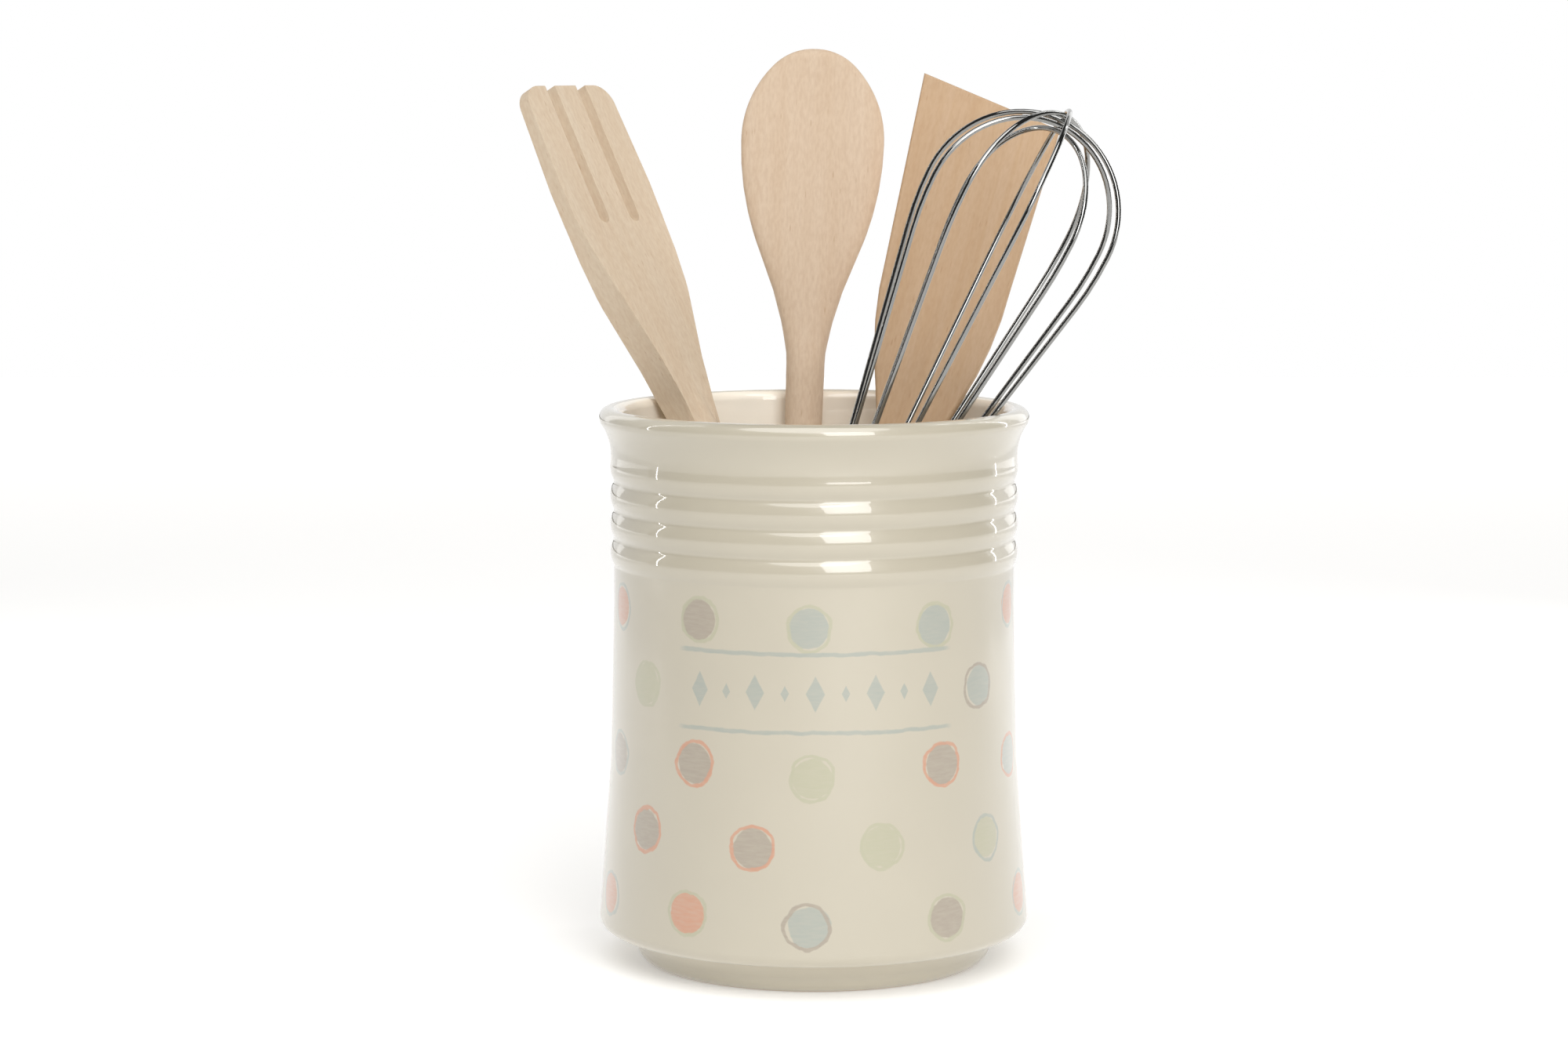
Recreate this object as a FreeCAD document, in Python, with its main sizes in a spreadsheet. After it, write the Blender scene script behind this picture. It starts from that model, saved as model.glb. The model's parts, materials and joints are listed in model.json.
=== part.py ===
"""A stoneware utensil crock that holds a wooden spoon, fork and spatula and a balloon whisk.

Millimetres, +Z up. The origin is on the crock's axis, in the plane that its foot stands on.
The front of the crock looks along -Y.
"""
import FreeCAD, Part
import Sketcher
import math
import os

# Every driving size, in millimetres or degrees.
SIZES = {
    # Stoneware crock, radii from its axis and heights from its foot
    "crock_height": 169.0,
    "waist_radius": 60.7,
    "wall": 5.0,
    "rim_thickness": 6.4,
    "rim_flare": 3.45,
    "neck_drop": 14.5,
    "neck_inset": 0.15,
    "top_rib_drop": 18.0,
    "rib_count": 4,
    "rib_pitch": 8.6,
    "rib_height": 1.0,
    "rib_valley_round": 2.0,
    "waist_run": 10.0,
    "shoulder_flare": 4.7,
    "shoulder_height": 14.0,
    "shoulder_round": 3.8,
    "foot_inset": 7.4,
    "foot_taper": 4.0,
    "foot_band": 5.0,
    "foot_round": 4.5,
    "foot_width": 9.0,
    "foot_recess": 3.5,
    "floor_thickness": 6.5,
    "inner_corner": 9.0,
    # Seats and fits
    "seat_gap": 0.3,
    "rim_gap": 0.841,
    "fit_gap": 0.1,
    "overrun": 5.0,
    # Wooden spoon, lengths from the middle of its domed end
    "spoon_length": 263.4,
    "spoon_handle_radius": 5.8,
    "spoon_neck": 145.0,
    "spoon_fade": 58.0,
    "spoon_head_width": 45.2,
    "spoon_neck_thickness": 8.4,
    "spoon_tip_thickness": 6.4,
    "spoon_crown": 29.2,
    "spoon_edge_round": 1.8,
    "spoon_bowl_length": 56.0,
    "spoon_bowl_width": 34.0,
    "spoon_bowl_depth": 2.6,
    "spoon_turn": 0.0,
    # Wooden fork
    "fork_length": 279.8,
    "fork_handle_radius": 6.3,
    "fork_neck": 140.0,
    "fork_fade": 70.0,
    "fork_shoulder": 34.8,
    "fork_head_width": 42.6,
    "fork_tip_width": 40.6,
    "fork_neck_thickness": 10.0,
    "fork_tip_thickness": 4.2,
    "fork_edge_round": 1.2,
    "fork_corner": 7.0,
    "fork_slot_width": 4.5,
    "fork_slot_length": 48.0,
    "fork_slot_spacing": 14.5,
    "fork_turn": 52.0,
    # Wooden spatula
    "spatula_length": 255.8,
    "spatula_handle_radius": 5.8,
    "spatula_neck": 105.0,
    "spatula_fade": 75.0,
    "spatula_shoulder": 55.8,
    "spatula_head_width": 40.0,
    "spatula_tip_width": 45.4,
    "spatula_neck_thickness": 7.6,
    "spatula_tip_thickness": 3.8,
    "spatula_edge_round": 1.1,
    "spatula_slant": 9.4,
    "spatula_turn": -4.0,
    # Balloon whisk
    "whisk_handle_length": 78.0,
    "whisk_handle_end_radius": 7.5,
    "whisk_handle_belly_radius": 9.2,
    "ferrule_radius": 7.2,
    "ferrule_wall": 0.8,
    "ferrule_exposed": 13.0,
    "tenon_length": 12.0,
    "cage_length": 178.0,
    "cage_radius": 33.6,
    "cage_step": 1.2,
    "wire_radius": 0.8,
    "wire_ring_radius": 4.2,
    "wire_bend_radius": 30.0,
    "wire_bow_radius": 90.0,
    "wire_embed": 10.0,
    "whisk_turn": 90.0,
}

# Where each utensil's foot stands on the floor and where its axis crosses the mouth,
# as (right, back) shares of the flat floor's radius and of the mouth's radius.
SPOON_STAND_SHARES = ((-0.15, 0.55), (-0.045, 0.895))
FORK_STAND_SHARES = ((0.46, -0.35), (-0.68, 0.545))
SPATULA_STAND_SHARES = ((-0.152, 0.10), (0.548, 0.57))
# The whisk's foot, and the direction from the crock's axis to where the whisk's axis crosses the mouth.
WHISK_FOOT_SHARES = (-0.855, -0.33)
WHISK_LEAN_SHARES = (0.53, -0.295)
# The loop with a leg that leans out over the rim, counted from the top loop.
LEANING_LOOP = 2
# Rounds in which the whisk's lean settles, because its lean sets how wide the cage is at the mouth.
SETTLING_ROUNDS = 12

# How much of a head's spread lies in the hollow curve above its neck;
# the rest is the full curve below its widest place.
SPOON_HOLLOW_SHARE = 0.58
FORK_HOLLOW_SHARE = 0.55
SPATULA_HOLLOW_SHARE = 0.60
# Radius of the small arc at the top of the spoon, as a share of its half width.
SPOON_TOP_SHARE = 0.80
# A head starts inside its round handle, this share of the handle's radius wide.
ROOT_SHARE = 0.70
# The handle keeps its full radius over this share of the length in which it fades into the head.
HOLD_SHARE = 0.30
# The handle tapers to this share of the head's tip thickness where it ends inside the head.
FADE_END_SHARE = 0.25
# Side view of each head: (height, thickness) shares, from neck to tip and from tip to neck thickness.
SPOON_SIDE_SHARES = ((0.0, 0.8), (0.25, 1.0), (0.75, 0.6), (1.0, 0.0))
FORK_SIDE_SHARES = ((0.0, 0.75), (0.23, 1.0), (0.47, 0.90), (0.66, 0.22), (1.0, 0.0))
SPATULA_SIDE_SHARES = ((0.0, 0.9), (0.30, 1.0), (0.62, 0.35), (1.0, 0.0))
# Turn of each wire loop round the whisk's axis, in degrees, from the top loop down.
LOOP_ANGLES = (0, -36, 72, -72, 36)
# An edge that leans further than this from a head's plane runs through its thickness, in degrees.
EDGE_LEAN = 45
# A face whose normal has less than this share of depth stands square to a head's plane.
SQUARE_SHARE = 0.000001

doc = FreeCAD.newDocument("utensil_crock")
sheet = doc.addObject("Spreadsheet::Sheet", "Sizes")
for row, (alias, number) in enumerate(SIZES.items(), start=1):
    sheet.set(f"A{row}", alias)
    sheet.set(f"B{row}", str(number))
    sheet.setAlias(f"B{row}", alias)
doc.recompute()


class Size:
    """A size worked out from the sheet: its number now, and the same sum as an expression."""

    def __init__(self, number, text):
        self.number = float(number)
        self.text = text

    def __add__(self, other):
        other = as_size(other)
        return Size(self.number + other.number, f"({self.text} + {other.text})")

    def __sub__(self, other):
        other = as_size(other)
        return Size(self.number - other.number, f"({self.text} - {other.text})")

    def __mul__(self, other):
        other = as_size(other)
        return Size(self.number * other.number, f"({self.text} * {other.text})")

    def __truediv__(self, other):
        other = as_size(other)
        return Size(self.number / other.number, f"({self.text} / {other.text})")

    def __neg__(self):
        return Size(-self.number, f"(0 - {self.text})")

    __radd__ = __add__
    __rmul__ = __mul__

    def __rsub__(self, other):
        return as_size(other) - self


def as_size(item):
    """Plain numbers join a sum of sizes as they are."""
    return item if isinstance(item, Size) else Size(item, repr(float(item)))


def root(item):
    return Size(math.sqrt(item.number), f"sqrt({item.text})")


def size(alias):
    return Size(sheet.get(alias), f"Sizes.{alias}")


ZERO = Size(0, "0")


def new_body(label):
    body = doc.addObject("PartDesign::Body", label)
    body.Label = label
    return body


def new_sketch(body, role, name, lift=None):
    """A sketch on one of the body's own planes, moved off it by lift."""
    sketch = body.newObject("Sketcher::SketchObject", name)
    plane = [item for item in body.Origin.OriginFeatures if item.Role == role][0]
    sketch.AttachmentSupport = [(plane, "")]
    sketch.MapMode = "FlatFace"
    if lift is not None:
        sketch.setExpression("AttachmentOffset.Base.z", lift.text)
    return sketch


def place_point(sketch, geometry, end, x, y, label):
    """Fixes one end of a line or arc at (x, y) from the sketch's origin."""
    for kind, axis, distance in (("DistanceX", -2, x), ("DistanceY", -1, y)):
        if distance.number == 0:
            sketch.addConstraint(Sketcher.Constraint("PointOnObject", geometry, end, axis))
            continue
        positive = distance if distance.number > 0 else -distance
        points = (-1, 1, geometry, end) if distance.number > 0 else (geometry, end, -1, 1)
        index = sketch.addConstraint(Sketcher.Constraint(kind, *points, positive.number))
        name = f"{label}_{kind[-1].lower()}"
        sketch.renameConstraint(index, name)
        sketch.setExpression(f"Constraints.{name}", positive.text)


def draw(sketch, corners, closed=True, label="corner"):
    """Draws a run of lines and arcs. A corner is (x, y, bend) and bend shapes the run to the next one:
    None is a line, a positive radius an arc that turns left, a negative one an arc that turns right."""
    runs = len(corners) if closed else len(corners) - 1
    joints = []
    for index in range(runs):
        x, y, bend = corners[index]
        next_x, next_y, _ = corners[(index + 1) % len(corners)]
        start = FreeCAD.Vector(x.number, y.number, 0)
        end = FreeCAD.Vector(next_x.number, next_y.number, 0)
        if bend is None:
            geometry = sketch.addGeometry(Part.LineSegment(start, end), False)
            first, last = 1, 2
        else:
            turn = math.copysign(1, bend.number)
            half_chord = (end - start) * 0.5
            reach = math.sqrt(max(bend.number ** 2 - half_chord.Length ** 2, 0))
            side = FreeCAD.Vector(-half_chord.y, half_chord.x, 0).normalize() * turn
            centre = start + half_chord + side * reach
            from_start = math.atan2(start.y - centre.y, start.x - centre.x)
            from_end = math.atan2(end.y - centre.y, end.x - centre.x)
            angles = (from_start, from_end) if turn > 0 else (from_end, from_start)
            circle = Part.Circle(centre, FreeCAD.Vector(0, 0, 1), abs(bend.number))
            geometry = sketch.addGeometry(Part.ArcOfCircle(circle, *angles), False)
            first, last = (1, 2) if turn > 0 else (2, 1)
        joints.append((geometry, first, last))
    for index, (geometry, first, last) in enumerate(joints):
        x, y, bend = corners[index]
        place_point(sketch, geometry, first, x, y, f"{label}{index}")
        if bend is not None:
            radius = bend if bend.number > 0 else -bend
            entry = sketch.addConstraint(Sketcher.Constraint("Radius", geometry, radius.number))
            sketch.renameConstraint(entry, f"{label}{index}_bend")
            sketch.setExpression(f"Constraints.{label}{index}_bend", radius.text)
        if closed or index + 1 < runs:
            following, foot, _ = joints[(index + 1) % runs]
            sketch.addConstraint(Sketcher.Constraint("Coincident", geometry, last, following, foot))
        else:
            end_x, end_y, _ = corners[-1]
            place_point(sketch, geometry, last, end_x, end_y, f"{label}{index + 1}")


def draw_circle(sketch, x, radius):
    centre = FreeCAD.Vector(x.number, 0, 0)
    ring = Part.Circle(centre, FreeCAD.Vector(0, 0, 1), radius.number)
    circle = sketch.addGeometry(ring, False)
    place_point(sketch, circle, 3, x, ZERO, "centre")
    entry = sketch.addConstraint(Sketcher.Constraint("Radius", circle, radius.number))
    sketch.renameConstraint(entry, "circle_radius")
    sketch.setExpression("Constraints.circle_radius", radius.text)


def revolve(body, corners, name):
    """Turns a closed outline, drawn as (radius, height), round the body's Z axis."""
    sketch = new_sketch(body, "XZ_Plane", f"{name}_outline")
    draw(sketch, corners)
    turned = body.newObject("PartDesign::Revolution", name)
    turned.Profile = sketch
    turned.ReferenceAxis = (sketch, ["V_Axis"])
    turned.Angle = 360
    return turned


def cut_through(body, outlines, name):
    """Cuts closed outlines, drawn as (x, z), right through the body along Y."""
    sketch = new_sketch(body, "XZ_Plane", f"{name}_outline")
    for number, corners in enumerate(outlines):
        draw(sketch, corners, label=f"cut{number}_")
    pocket = body.newObject("PartDesign::Pocket", name)
    pocket.Profile = sketch
    pocket.Type = "ThroughAll"
    pocket.Midplane = True
    return pocket


# Levels and radii of the crock that its contents share.
floor_level = size("foot_recess") + size("floor_thickness")
shoulder_radius = size("waist_radius") + size("shoulder_flare")
neck_radius = size("waist_radius") + size("rib_height") - size("neck_inset")
rim_radius = neck_radius + size("rim_flare")
mouth_radius = rim_radius - size("rim_thickness")
inner_foot_radius = shoulder_radius - size("wall")
floor_radius = inner_foot_radius - size("inner_corner")


def crock_outline():
    """The crock's half section, from the middle of its floor out over the rim and down to its foot."""
    bead = size("rim_thickness") / 2
    bead_radius = rim_radius - bead
    bead_level = size("crock_height") - bead
    top_peak = size("crock_height") - size("top_rib_drop")
    half_pitch = size("rib_pitch") / 2
    waist_level = top_peak - (size("rib_count") - 1) * size("rib_pitch") - half_pitch - size("waist_run")
    inner_waist = size("waist_radius") - size("wall")
    inner_foot_level = floor_level + size("inner_corner")

    def bow(rise, run):
        """Radius of an arc that leaves the vertical and runs out by run over rise."""
        return (rise * rise + run * run) / (2 * run)

    # The inner wall is a cone that touches the round of the rim.
    across = bead_radius - inner_waist
    up = bead_level - waist_level
    square = across * across + up * up
    touch = root(square - bead * bead)
    lip_radius = inner_waist + touch * (across * touch - up * bead) / square
    lip_level = waist_level + touch * (across * bead + up * touch) / square

    # A hollow sweep joins the upright neck to the round of the rim.
    neck_level = size("crock_height") - size("neck_drop")
    drop = bead_level - neck_level
    step = neck_radius - bead_radius
    sweep = (drop * drop + step * step - bead * bead) / (2 * (bead - step))
    under_rim_radius = bead_radius + bead * (sweep + step) / (sweep + bead)
    under_rim_level = bead_level - bead * drop / (sweep + bead)

    # Each rib is a round that runs into hollow valleys at both sides.
    slope = size("rib_height") / half_pitch
    slope_sine = 2 * slope / (1 + slope * slope)
    slope_cosine = (1 - slope * slope) / (1 + slope * slope)
    valley = size("rib_valley_round")
    rib_round = half_pitch / slope_sine - valley
    turn_radius = size("waist_radius") + valley * (1 - slope_cosine)
    turn_rise = valley * slope_sine
    inset = size("neck_inset")
    crest = top_peak + root(2 * rib_round * inset - inset * inset)

    inner_bow = bow(waist_level - inner_foot_level, inner_foot_radius - inner_waist)
    corners = [
        (ZERO, floor_level, None),
        (floor_radius, floor_level, size("inner_corner")),
        (inner_foot_radius, inner_foot_level, -inner_bow),
        (inner_waist, waist_level, None),
        (lip_radius, lip_level, -bead),
        (bead_radius, size("crock_height"), -bead),
        (under_rim_radius, under_rim_level, sweep),
        (neck_radius, neck_level, None),
        (neck_radius, crest, -rib_round),
    ]
    for rib in range(int(sheet.rib_count)):
        valley_level = top_peak - rib * size("rib_pitch") - half_pitch
        corners.append((turn_radius, valley_level + turn_rise, valley))
        if rib + 1 < int(sheet.rib_count):
            corners.append((turn_radius, valley_level - turn_rise, -rib_round))
        else:
            corners.append((size("waist_radius"), valley_level, None))

    # The body bows out from the waist to a rounded shoulder above a stepped foot.
    body_bow = bow(waist_level - size("shoulder_height"), size("shoulder_flare"))
    shoulder = size("shoulder_round")
    round_radius = shoulder_radius + shoulder * (size("shoulder_flare") - body_bow) / body_bow
    round_level = size("shoulder_height") + shoulder * (size("shoulder_height") - waist_level) / body_bow
    crease_radius = shoulder_radius - size("foot_inset")
    foot_radius = crease_radius - size("foot_taper")
    ring_radius = foot_radius - size("foot_width")
    corners += [
        (size("waist_radius"), waist_level, body_bow),
        (shoulder_radius, size("shoulder_height"), -shoulder),
        (round_radius, round_level - shoulder, None),
        (crease_radius, round_level - shoulder, None),
        (foot_radius, size("foot_band"), None),
        (foot_radius, size("foot_round"), -size("foot_round")),
        (foot_radius - size("foot_round"), ZERO, None),
        (ring_radius, ZERO, None),
        (ring_radius - size("foot_recess"), size("foot_recess"), None),
        (ZERO, size("foot_recess"), None),
    ]
    return corners


def make_crock():
    body = new_body("crock_body")
    revolve(body, crock_outline(), "crock_shell")


def stand(shares, end_radius, turn):
    """Places a utensil: its round end rests on the floor and its axis crosses the mouth where shares say.
    The local Z axis runs up the utensil and local X, turned by turn, lies across its face."""
    (foot_right, foot_back), (mouth_right, mouth_back) = shares
    foot_level = floor_level + size("seat_gap") + end_radius
    foot = FreeCAD.Vector(foot_right, foot_back, 0) * floor_radius.number
    foot.z = foot_level.number
    crossing = FreeCAD.Vector(mouth_right, mouth_back, 0) * mouth_radius.number
    crossing.z = sheet.crock_height
    along = (crossing - foot).normalize()
    angle = math.radians(turn)
    across = FreeCAD.Vector(math.cos(angle), math.sin(angle), 0)
    rotation = FreeCAD.Rotation(across, along.cross(across), along, "ZXY")
    return FreeCAD.Placement(foot, rotation)


def mirrored(corners):
    """Closes a right-hand outline, drawn from its foot up, with its mirror image on the left."""
    last = len(corners) - 1
    outline = list(corners)
    left = list(range(last, -1, -1))
    if corners[last][0].number == 0:
        outline[last] = (*corners[last][:2], corners[last - 1][2])
        left = left[1:]
    for index in left:
        x, z, _ = corners[index]
        outline.append((-x, z, corners[index - 1][2] if index > 0 else None))
    return outline


def ogee(foot_x, foot_z, top_x, top_z, hollow_share):
    """Two arcs that leave the vertical at the foot, outwards, and come back to it at the top."""
    run = top_x - foot_x
    rise = top_z - foot_z
    slope = run / rise
    sine = 2 * slope / (1 + slope * slope)
    radii = rise / sine
    hollow = radii * hollow_share
    full = radii * (1 - hollow_share)
    return [
        (foot_x, foot_z, -hollow),
        (foot_x + run * hollow_share, foot_z + rise * hollow_share, full),
        (top_x, top_z, None),
    ]


def long_edges(shape, above):
    """Names of the edges that run round a head's outline, front and back, above its hidden root."""
    names = []
    for number, edge in enumerate(shape.Edges, start=1):
        middle = (edge.FirstParameter + edge.LastParameter) / 2
        if abs(edge.tangentAt(middle).y) > math.sin(math.radians(EDGE_LEAN)):
            continue
        square_faces = 0
        for face in shape.ancestorsOfType(edge, Part.Face):
            spot = face.Surface.parameter(edge.valueAt(middle))
            if abs(face.normalAt(*spot).y) < SQUARE_SHARE:
                square_faces += 1
        if square_faces == 1 and edge.BoundBox.ZMin > above:
            names.append(f"Edge{number}")
    return names


def carve(label, kind, outline, side_shares, top):
    """A utensil carved from one stick: a flat head cut to an outline and tapered from the side,
    and a round handle with a domed end that fades into it."""
    body = new_body(label)
    neck = size(f"{kind}_neck")
    thick = size(f"{kind}_neck_thickness")
    thin = size(f"{kind}_tip_thickness")
    front = new_sketch(body, "XZ_Plane", f"{kind}_front")
    draw(front, outline)
    blank = body.newObject("PartDesign::Pad", f"{kind}_blank")
    blank.Profile = front
    blank.setExpression("Length", (thick + size("overrun")).text)
    blank.Midplane = True

    # The side view keeps what lies inside its outline and cuts away the rest of the blank.
    side = new_sketch(body, "YZ_Plane", f"{kind}_side")
    profile = []
    for height_share, thickness_share in side_shares:
        level = neck + height_share * (top - neck)
        profile.append(((thin + thickness_share * (thick - thin)) / 2, level, None))
    draw(side, mirrored(profile), label="side")
    reach = thick + size("overrun")
    below = neck - size("overrun")
    beyond = top + size("overrun")
    draw(side, mirrored([(reach, below, None), (reach, beyond, None)]), label="around")
    taper = body.newObject("PartDesign::Pocket", f"{kind}_taper")
    taper.Profile = side
    taper.Type = "ThroughAll"
    taper.Midplane = True
    doc.recompute()

    rounding = body.newObject("PartDesign::Fillet", f"{kind}_edges")
    rounding.Base = (taper, long_edges(taper.Shape, neck.number))
    rounding.setExpression("Radius", size(f"{kind}_edge_round").text)

    handle = size(f"{kind}_handle_radius")
    fade_top = neck + size(f"{kind}_fade")
    revolve(body, [
        (ZERO, -handle, handle),
        (handle, ZERO, None),
        (handle, neck + size(f"{kind}_fade") * HOLD_SHARE, None),
        (thin * FADE_END_SHARE, fade_top, None),
        (ZERO, fade_top, None),
    ], f"{kind}_handle")
    return body


def make_spoon():
    half_width = size("spoon_head_width") / 2
    widest = size("spoon_length") - size("spoon_crown")
    root_x = size("spoon_handle_radius") * ROOT_SHARE
    small = half_width * SPOON_TOP_SHARE
    rest = size("spoon_crown") - small
    large = (half_width * half_width + rest * rest - small * small) / (2 * (half_width - small))
    touch_x = small * (large - half_width) / (large - small)
    touch_z = widest + rest + small * rest / (large - small)
    outline = ogee(root_x, size("spoon_neck"), half_width, widest, SPOON_HOLLOW_SHARE)
    outline[-1] = (half_width, widest, large)
    outline += [(touch_x, touch_z, small), (ZERO, size("spoon_length"), None)]
    body = carve("wooden_spoon", "spoon", mirrored(outline), SPOON_SIDE_SHARES, size("spoon_length"))
    doc.recompute()
    bowl = body.newObject("PartDesign::SubtractiveEllipsoid", "spoon_bowl")
    plane = [item for item in body.Origin.OriginFeatures if item.Role == "XZ_Plane"][0]
    bowl.AttachmentSupport = [(plane, "")]
    bowl.MapMode = "FlatFace"
    bowl.setExpression("Radius1", size("spoon_bowl_depth").text)
    bowl.setExpression("Radius2", (size("spoon_bowl_width") / 2).text)
    bowl.setExpression("Radius3", (size("spoon_bowl_length") / 2).text)
    bowl.setExpression("AttachmentOffset.Base.y", widest.text)
    bowl.setExpression("AttachmentOffset.Base.z", (-size("spoon_tip_thickness") / 2).text)
    body.Placement = stand(SPOON_STAND_SHARES, size("spoon_handle_radius"), sheet.spoon_turn)


def make_fork():
    root_x = size("fork_handle_radius") * ROOT_SHARE
    top = size("fork_length")
    corner = size("fork_corner")
    tip = size("fork_tip_width") / 2
    widest = size("fork_length") - size("fork_shoulder")
    outline = ogee(root_x, size("fork_neck"), size("fork_head_width") / 2, widest, FORK_HOLLOW_SHARE)
    outline += [(tip, top - corner, corner), (tip - corner, top, None)]
    body = carve("wooden_fork", "fork", mirrored(outline), FORK_SIDE_SHARES, top)
    half_slot = size("fork_slot_width") / 2
    open_end = top + size("overrun")
    slot_end = top - size("fork_slot_length")
    slots = []
    for side in (-1, 1):
        middle = side * size("fork_slot_spacing") / 2
        slots.append([
            (middle - half_slot, open_end, None),
            (middle - half_slot, slot_end + half_slot, half_slot),
            (middle, slot_end, half_slot),
            (middle + half_slot, slot_end + half_slot, None),
            (middle + half_slot, open_end, None),
        ])
    cut_through(body, slots, "fork_slots")
    body.Placement = stand(FORK_STAND_SHARES, size("fork_handle_radius"), sheet.fork_turn)


def make_spatula():
    root_x = size("spatula_handle_radius") * ROOT_SHARE
    tip = size("spatula_tip_width") / 2
    rise = tip * math.tan(math.radians(sheet.spatula_slant))
    widest = size("spatula_length") - size("spatula_shoulder")
    right = ogee(root_x, size("spatula_neck"), size("spatula_head_width") / 2, widest, SPATULA_HOLLOW_SHARE)
    outline = mirrored(right + [(tip, size("spatula_length") - rise, None)])
    slanted = len(right) + 1
    outline[slanted] = (-tip, size("spatula_length") + rise, None)
    top = size("spatula_length") + rise
    body = carve("wooden_spatula", "spatula", outline, SPATULA_SIDE_SHARES, top)
    body.Placement = stand(SPATULA_STAND_SHARES, size("spatula_handle_radius"), sheet.spatula_turn)


# Levels up the whisk, from the middle of its domed end, and the sleeve's inner radius.
ferrule_foot = size("whisk_handle_length") - size("tenon_length")
ferrule_top = size("whisk_handle_length") + size("ferrule_exposed")
sleeve_radius = size("ferrule_radius") - size("ferrule_wall")
inner_radius = sleeve_radius - size("fit_gap")


def make_whisk_handle(placement):
    """A turned handle: a domed end, a belly and a tenon that the ferrule slides over."""
    body = new_body("whisk_handle")
    end = size("whisk_handle_end_radius")
    belly = size("whisk_handle_belly_radius")
    run = ferrule_foot / 2
    lower = (run * run + (belly - end) * (belly - end)) / (2 * (belly - end))
    upper_fall = belly - size("ferrule_radius")
    upper = (run * run + upper_fall * upper_fall) / (2 * upper_fall)
    revolve(body, [
        (ZERO, -end, end),
        (end, ZERO, lower),
        (belly, run, upper),
        (size("ferrule_radius"), ferrule_foot, None),
        (inner_radius, ferrule_foot, None),
        (inner_radius, size("whisk_handle_length"), None),
        (ZERO, size("whisk_handle_length"), None),
    ], "handle_turning")
    body.Placement = placement


def make_ferrule(placement):
    body = new_body("whisk_ferrule")
    foot = ferrule_foot + size("fit_gap")
    revolve(body, [
        (sleeve_radius, foot, None),
        (size("ferrule_radius"), foot, None),
        (size("ferrule_radius"), ferrule_top - size("ferrule_wall"), size("ferrule_wall")),
        (sleeve_radius, ferrule_top, None),
    ], "ferrule_tube")
    body.Placement = placement


def make_plug(placement):
    """The filling that holds the wires in the ferrule, with one hole for each wire leg."""
    body = new_body("whisk_plug")
    foot = size("whisk_handle_length") + size("fit_gap")
    revolve(body, [
        (ZERO, foot, None),
        (inner_radius, foot, None),
        (inner_radius, ferrule_top - size("ferrule_wall"), None),
        (ZERO, ferrule_top - size("ferrule_wall"), None),
    ], "plug_filling")
    sketch = new_sketch(body, "XY_Plane", "leg_hole_outline", ferrule_top)
    draw_circle(sketch, size("wire_ring_radius"), size("wire_radius") + size("fit_gap"))
    hole = body.newObject("PartDesign::Pocket", "leg_hole")
    hole.Profile = sketch
    hole.setExpression("Length", (size("wire_embed") + size("ferrule_wall")).text)
    doc.recompute()
    ring = body.newObject("PartDesign::PolarPattern", "leg_holes")
    ring.Originals = [hole]
    axis = [item for item in body.Origin.OriginFeatures if item.Role == "Z_Axis"][0]
    ring.Axis = (axis, [""])
    ring.Angle = 360
    ring.Occurrences = 2 * len(LOOP_ANGLES)
    body.Tip = ring
    body.Placement = placement


def loop_line(order):
    """Both ends of a loop's straight leg and its widest place, as (x, z), and the height of its apex.
    A loop is a wire's thickness lower and a step narrower than the loop over it."""
    wire = size("wire_radius")
    leg = size("wire_ring_radius")
    bend = size("wire_bend_radius")
    bow = size("wire_bow_radius")
    apex = ferrule_top + size("cage_length") - wire - order * (2 * wire + size("fit_gap"))
    widest = size("cage_radius") - wire - order * size("cage_step")
    shoulder = apex - widest
    # The straight leg touches the bend at the ferrule and the bow below the widest place.
    height = shoulder - ferrule_top
    both = bend + bow
    spread = both - (widest - leg)
    square = height * height + spread * spread
    gap = root(square - both * both)
    sine = (height * both - spread * gap) / square
    cosine = (spread * both + height * gap) / square
    low = (leg + bend * (1 - cosine), ferrule_top + bend * sine)
    high = (widest - bow * (1 - cosine), shoulder - bow * sine)
    return low, high, (widest, shoulder), apex


def whisk_stand_shares():
    """The whisk leans out until the leg over the rim clears it by the rim gap."""
    (low_x, low_z), (high_x, high_z), _, _ = loop_line(LEANING_LOOP)
    slope = ((high_x - low_x) / (high_z - low_z)).number
    foot_level = floor_level + size("seat_gap") + size("whisk_handle_end_radius")
    rise = (size("crock_height") - foot_level).number
    foot = FreeCAD.Vector(*WHISK_FOOT_SHARES, 0) * floor_radius.number
    outward = FreeCAD.Vector(*WHISK_LEAN_SHARES, 0).normalize()
    crossing = FreeCAD.Vector()
    for _ in range(SETTLING_ROUNDS):
        run = math.hypot(rise, (crossing - foot).Length)
        cage = low_x.number + slope * (run - low_z.number) + sheet.wire_radius
        crossing = outward * (mouth_radius.number - sheet.rim_gap - cage * run / rise)
    share = crossing * (1 / mouth_radius.number)
    return WHISK_FOOT_SHARES, (share.x, share.y)


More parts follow.
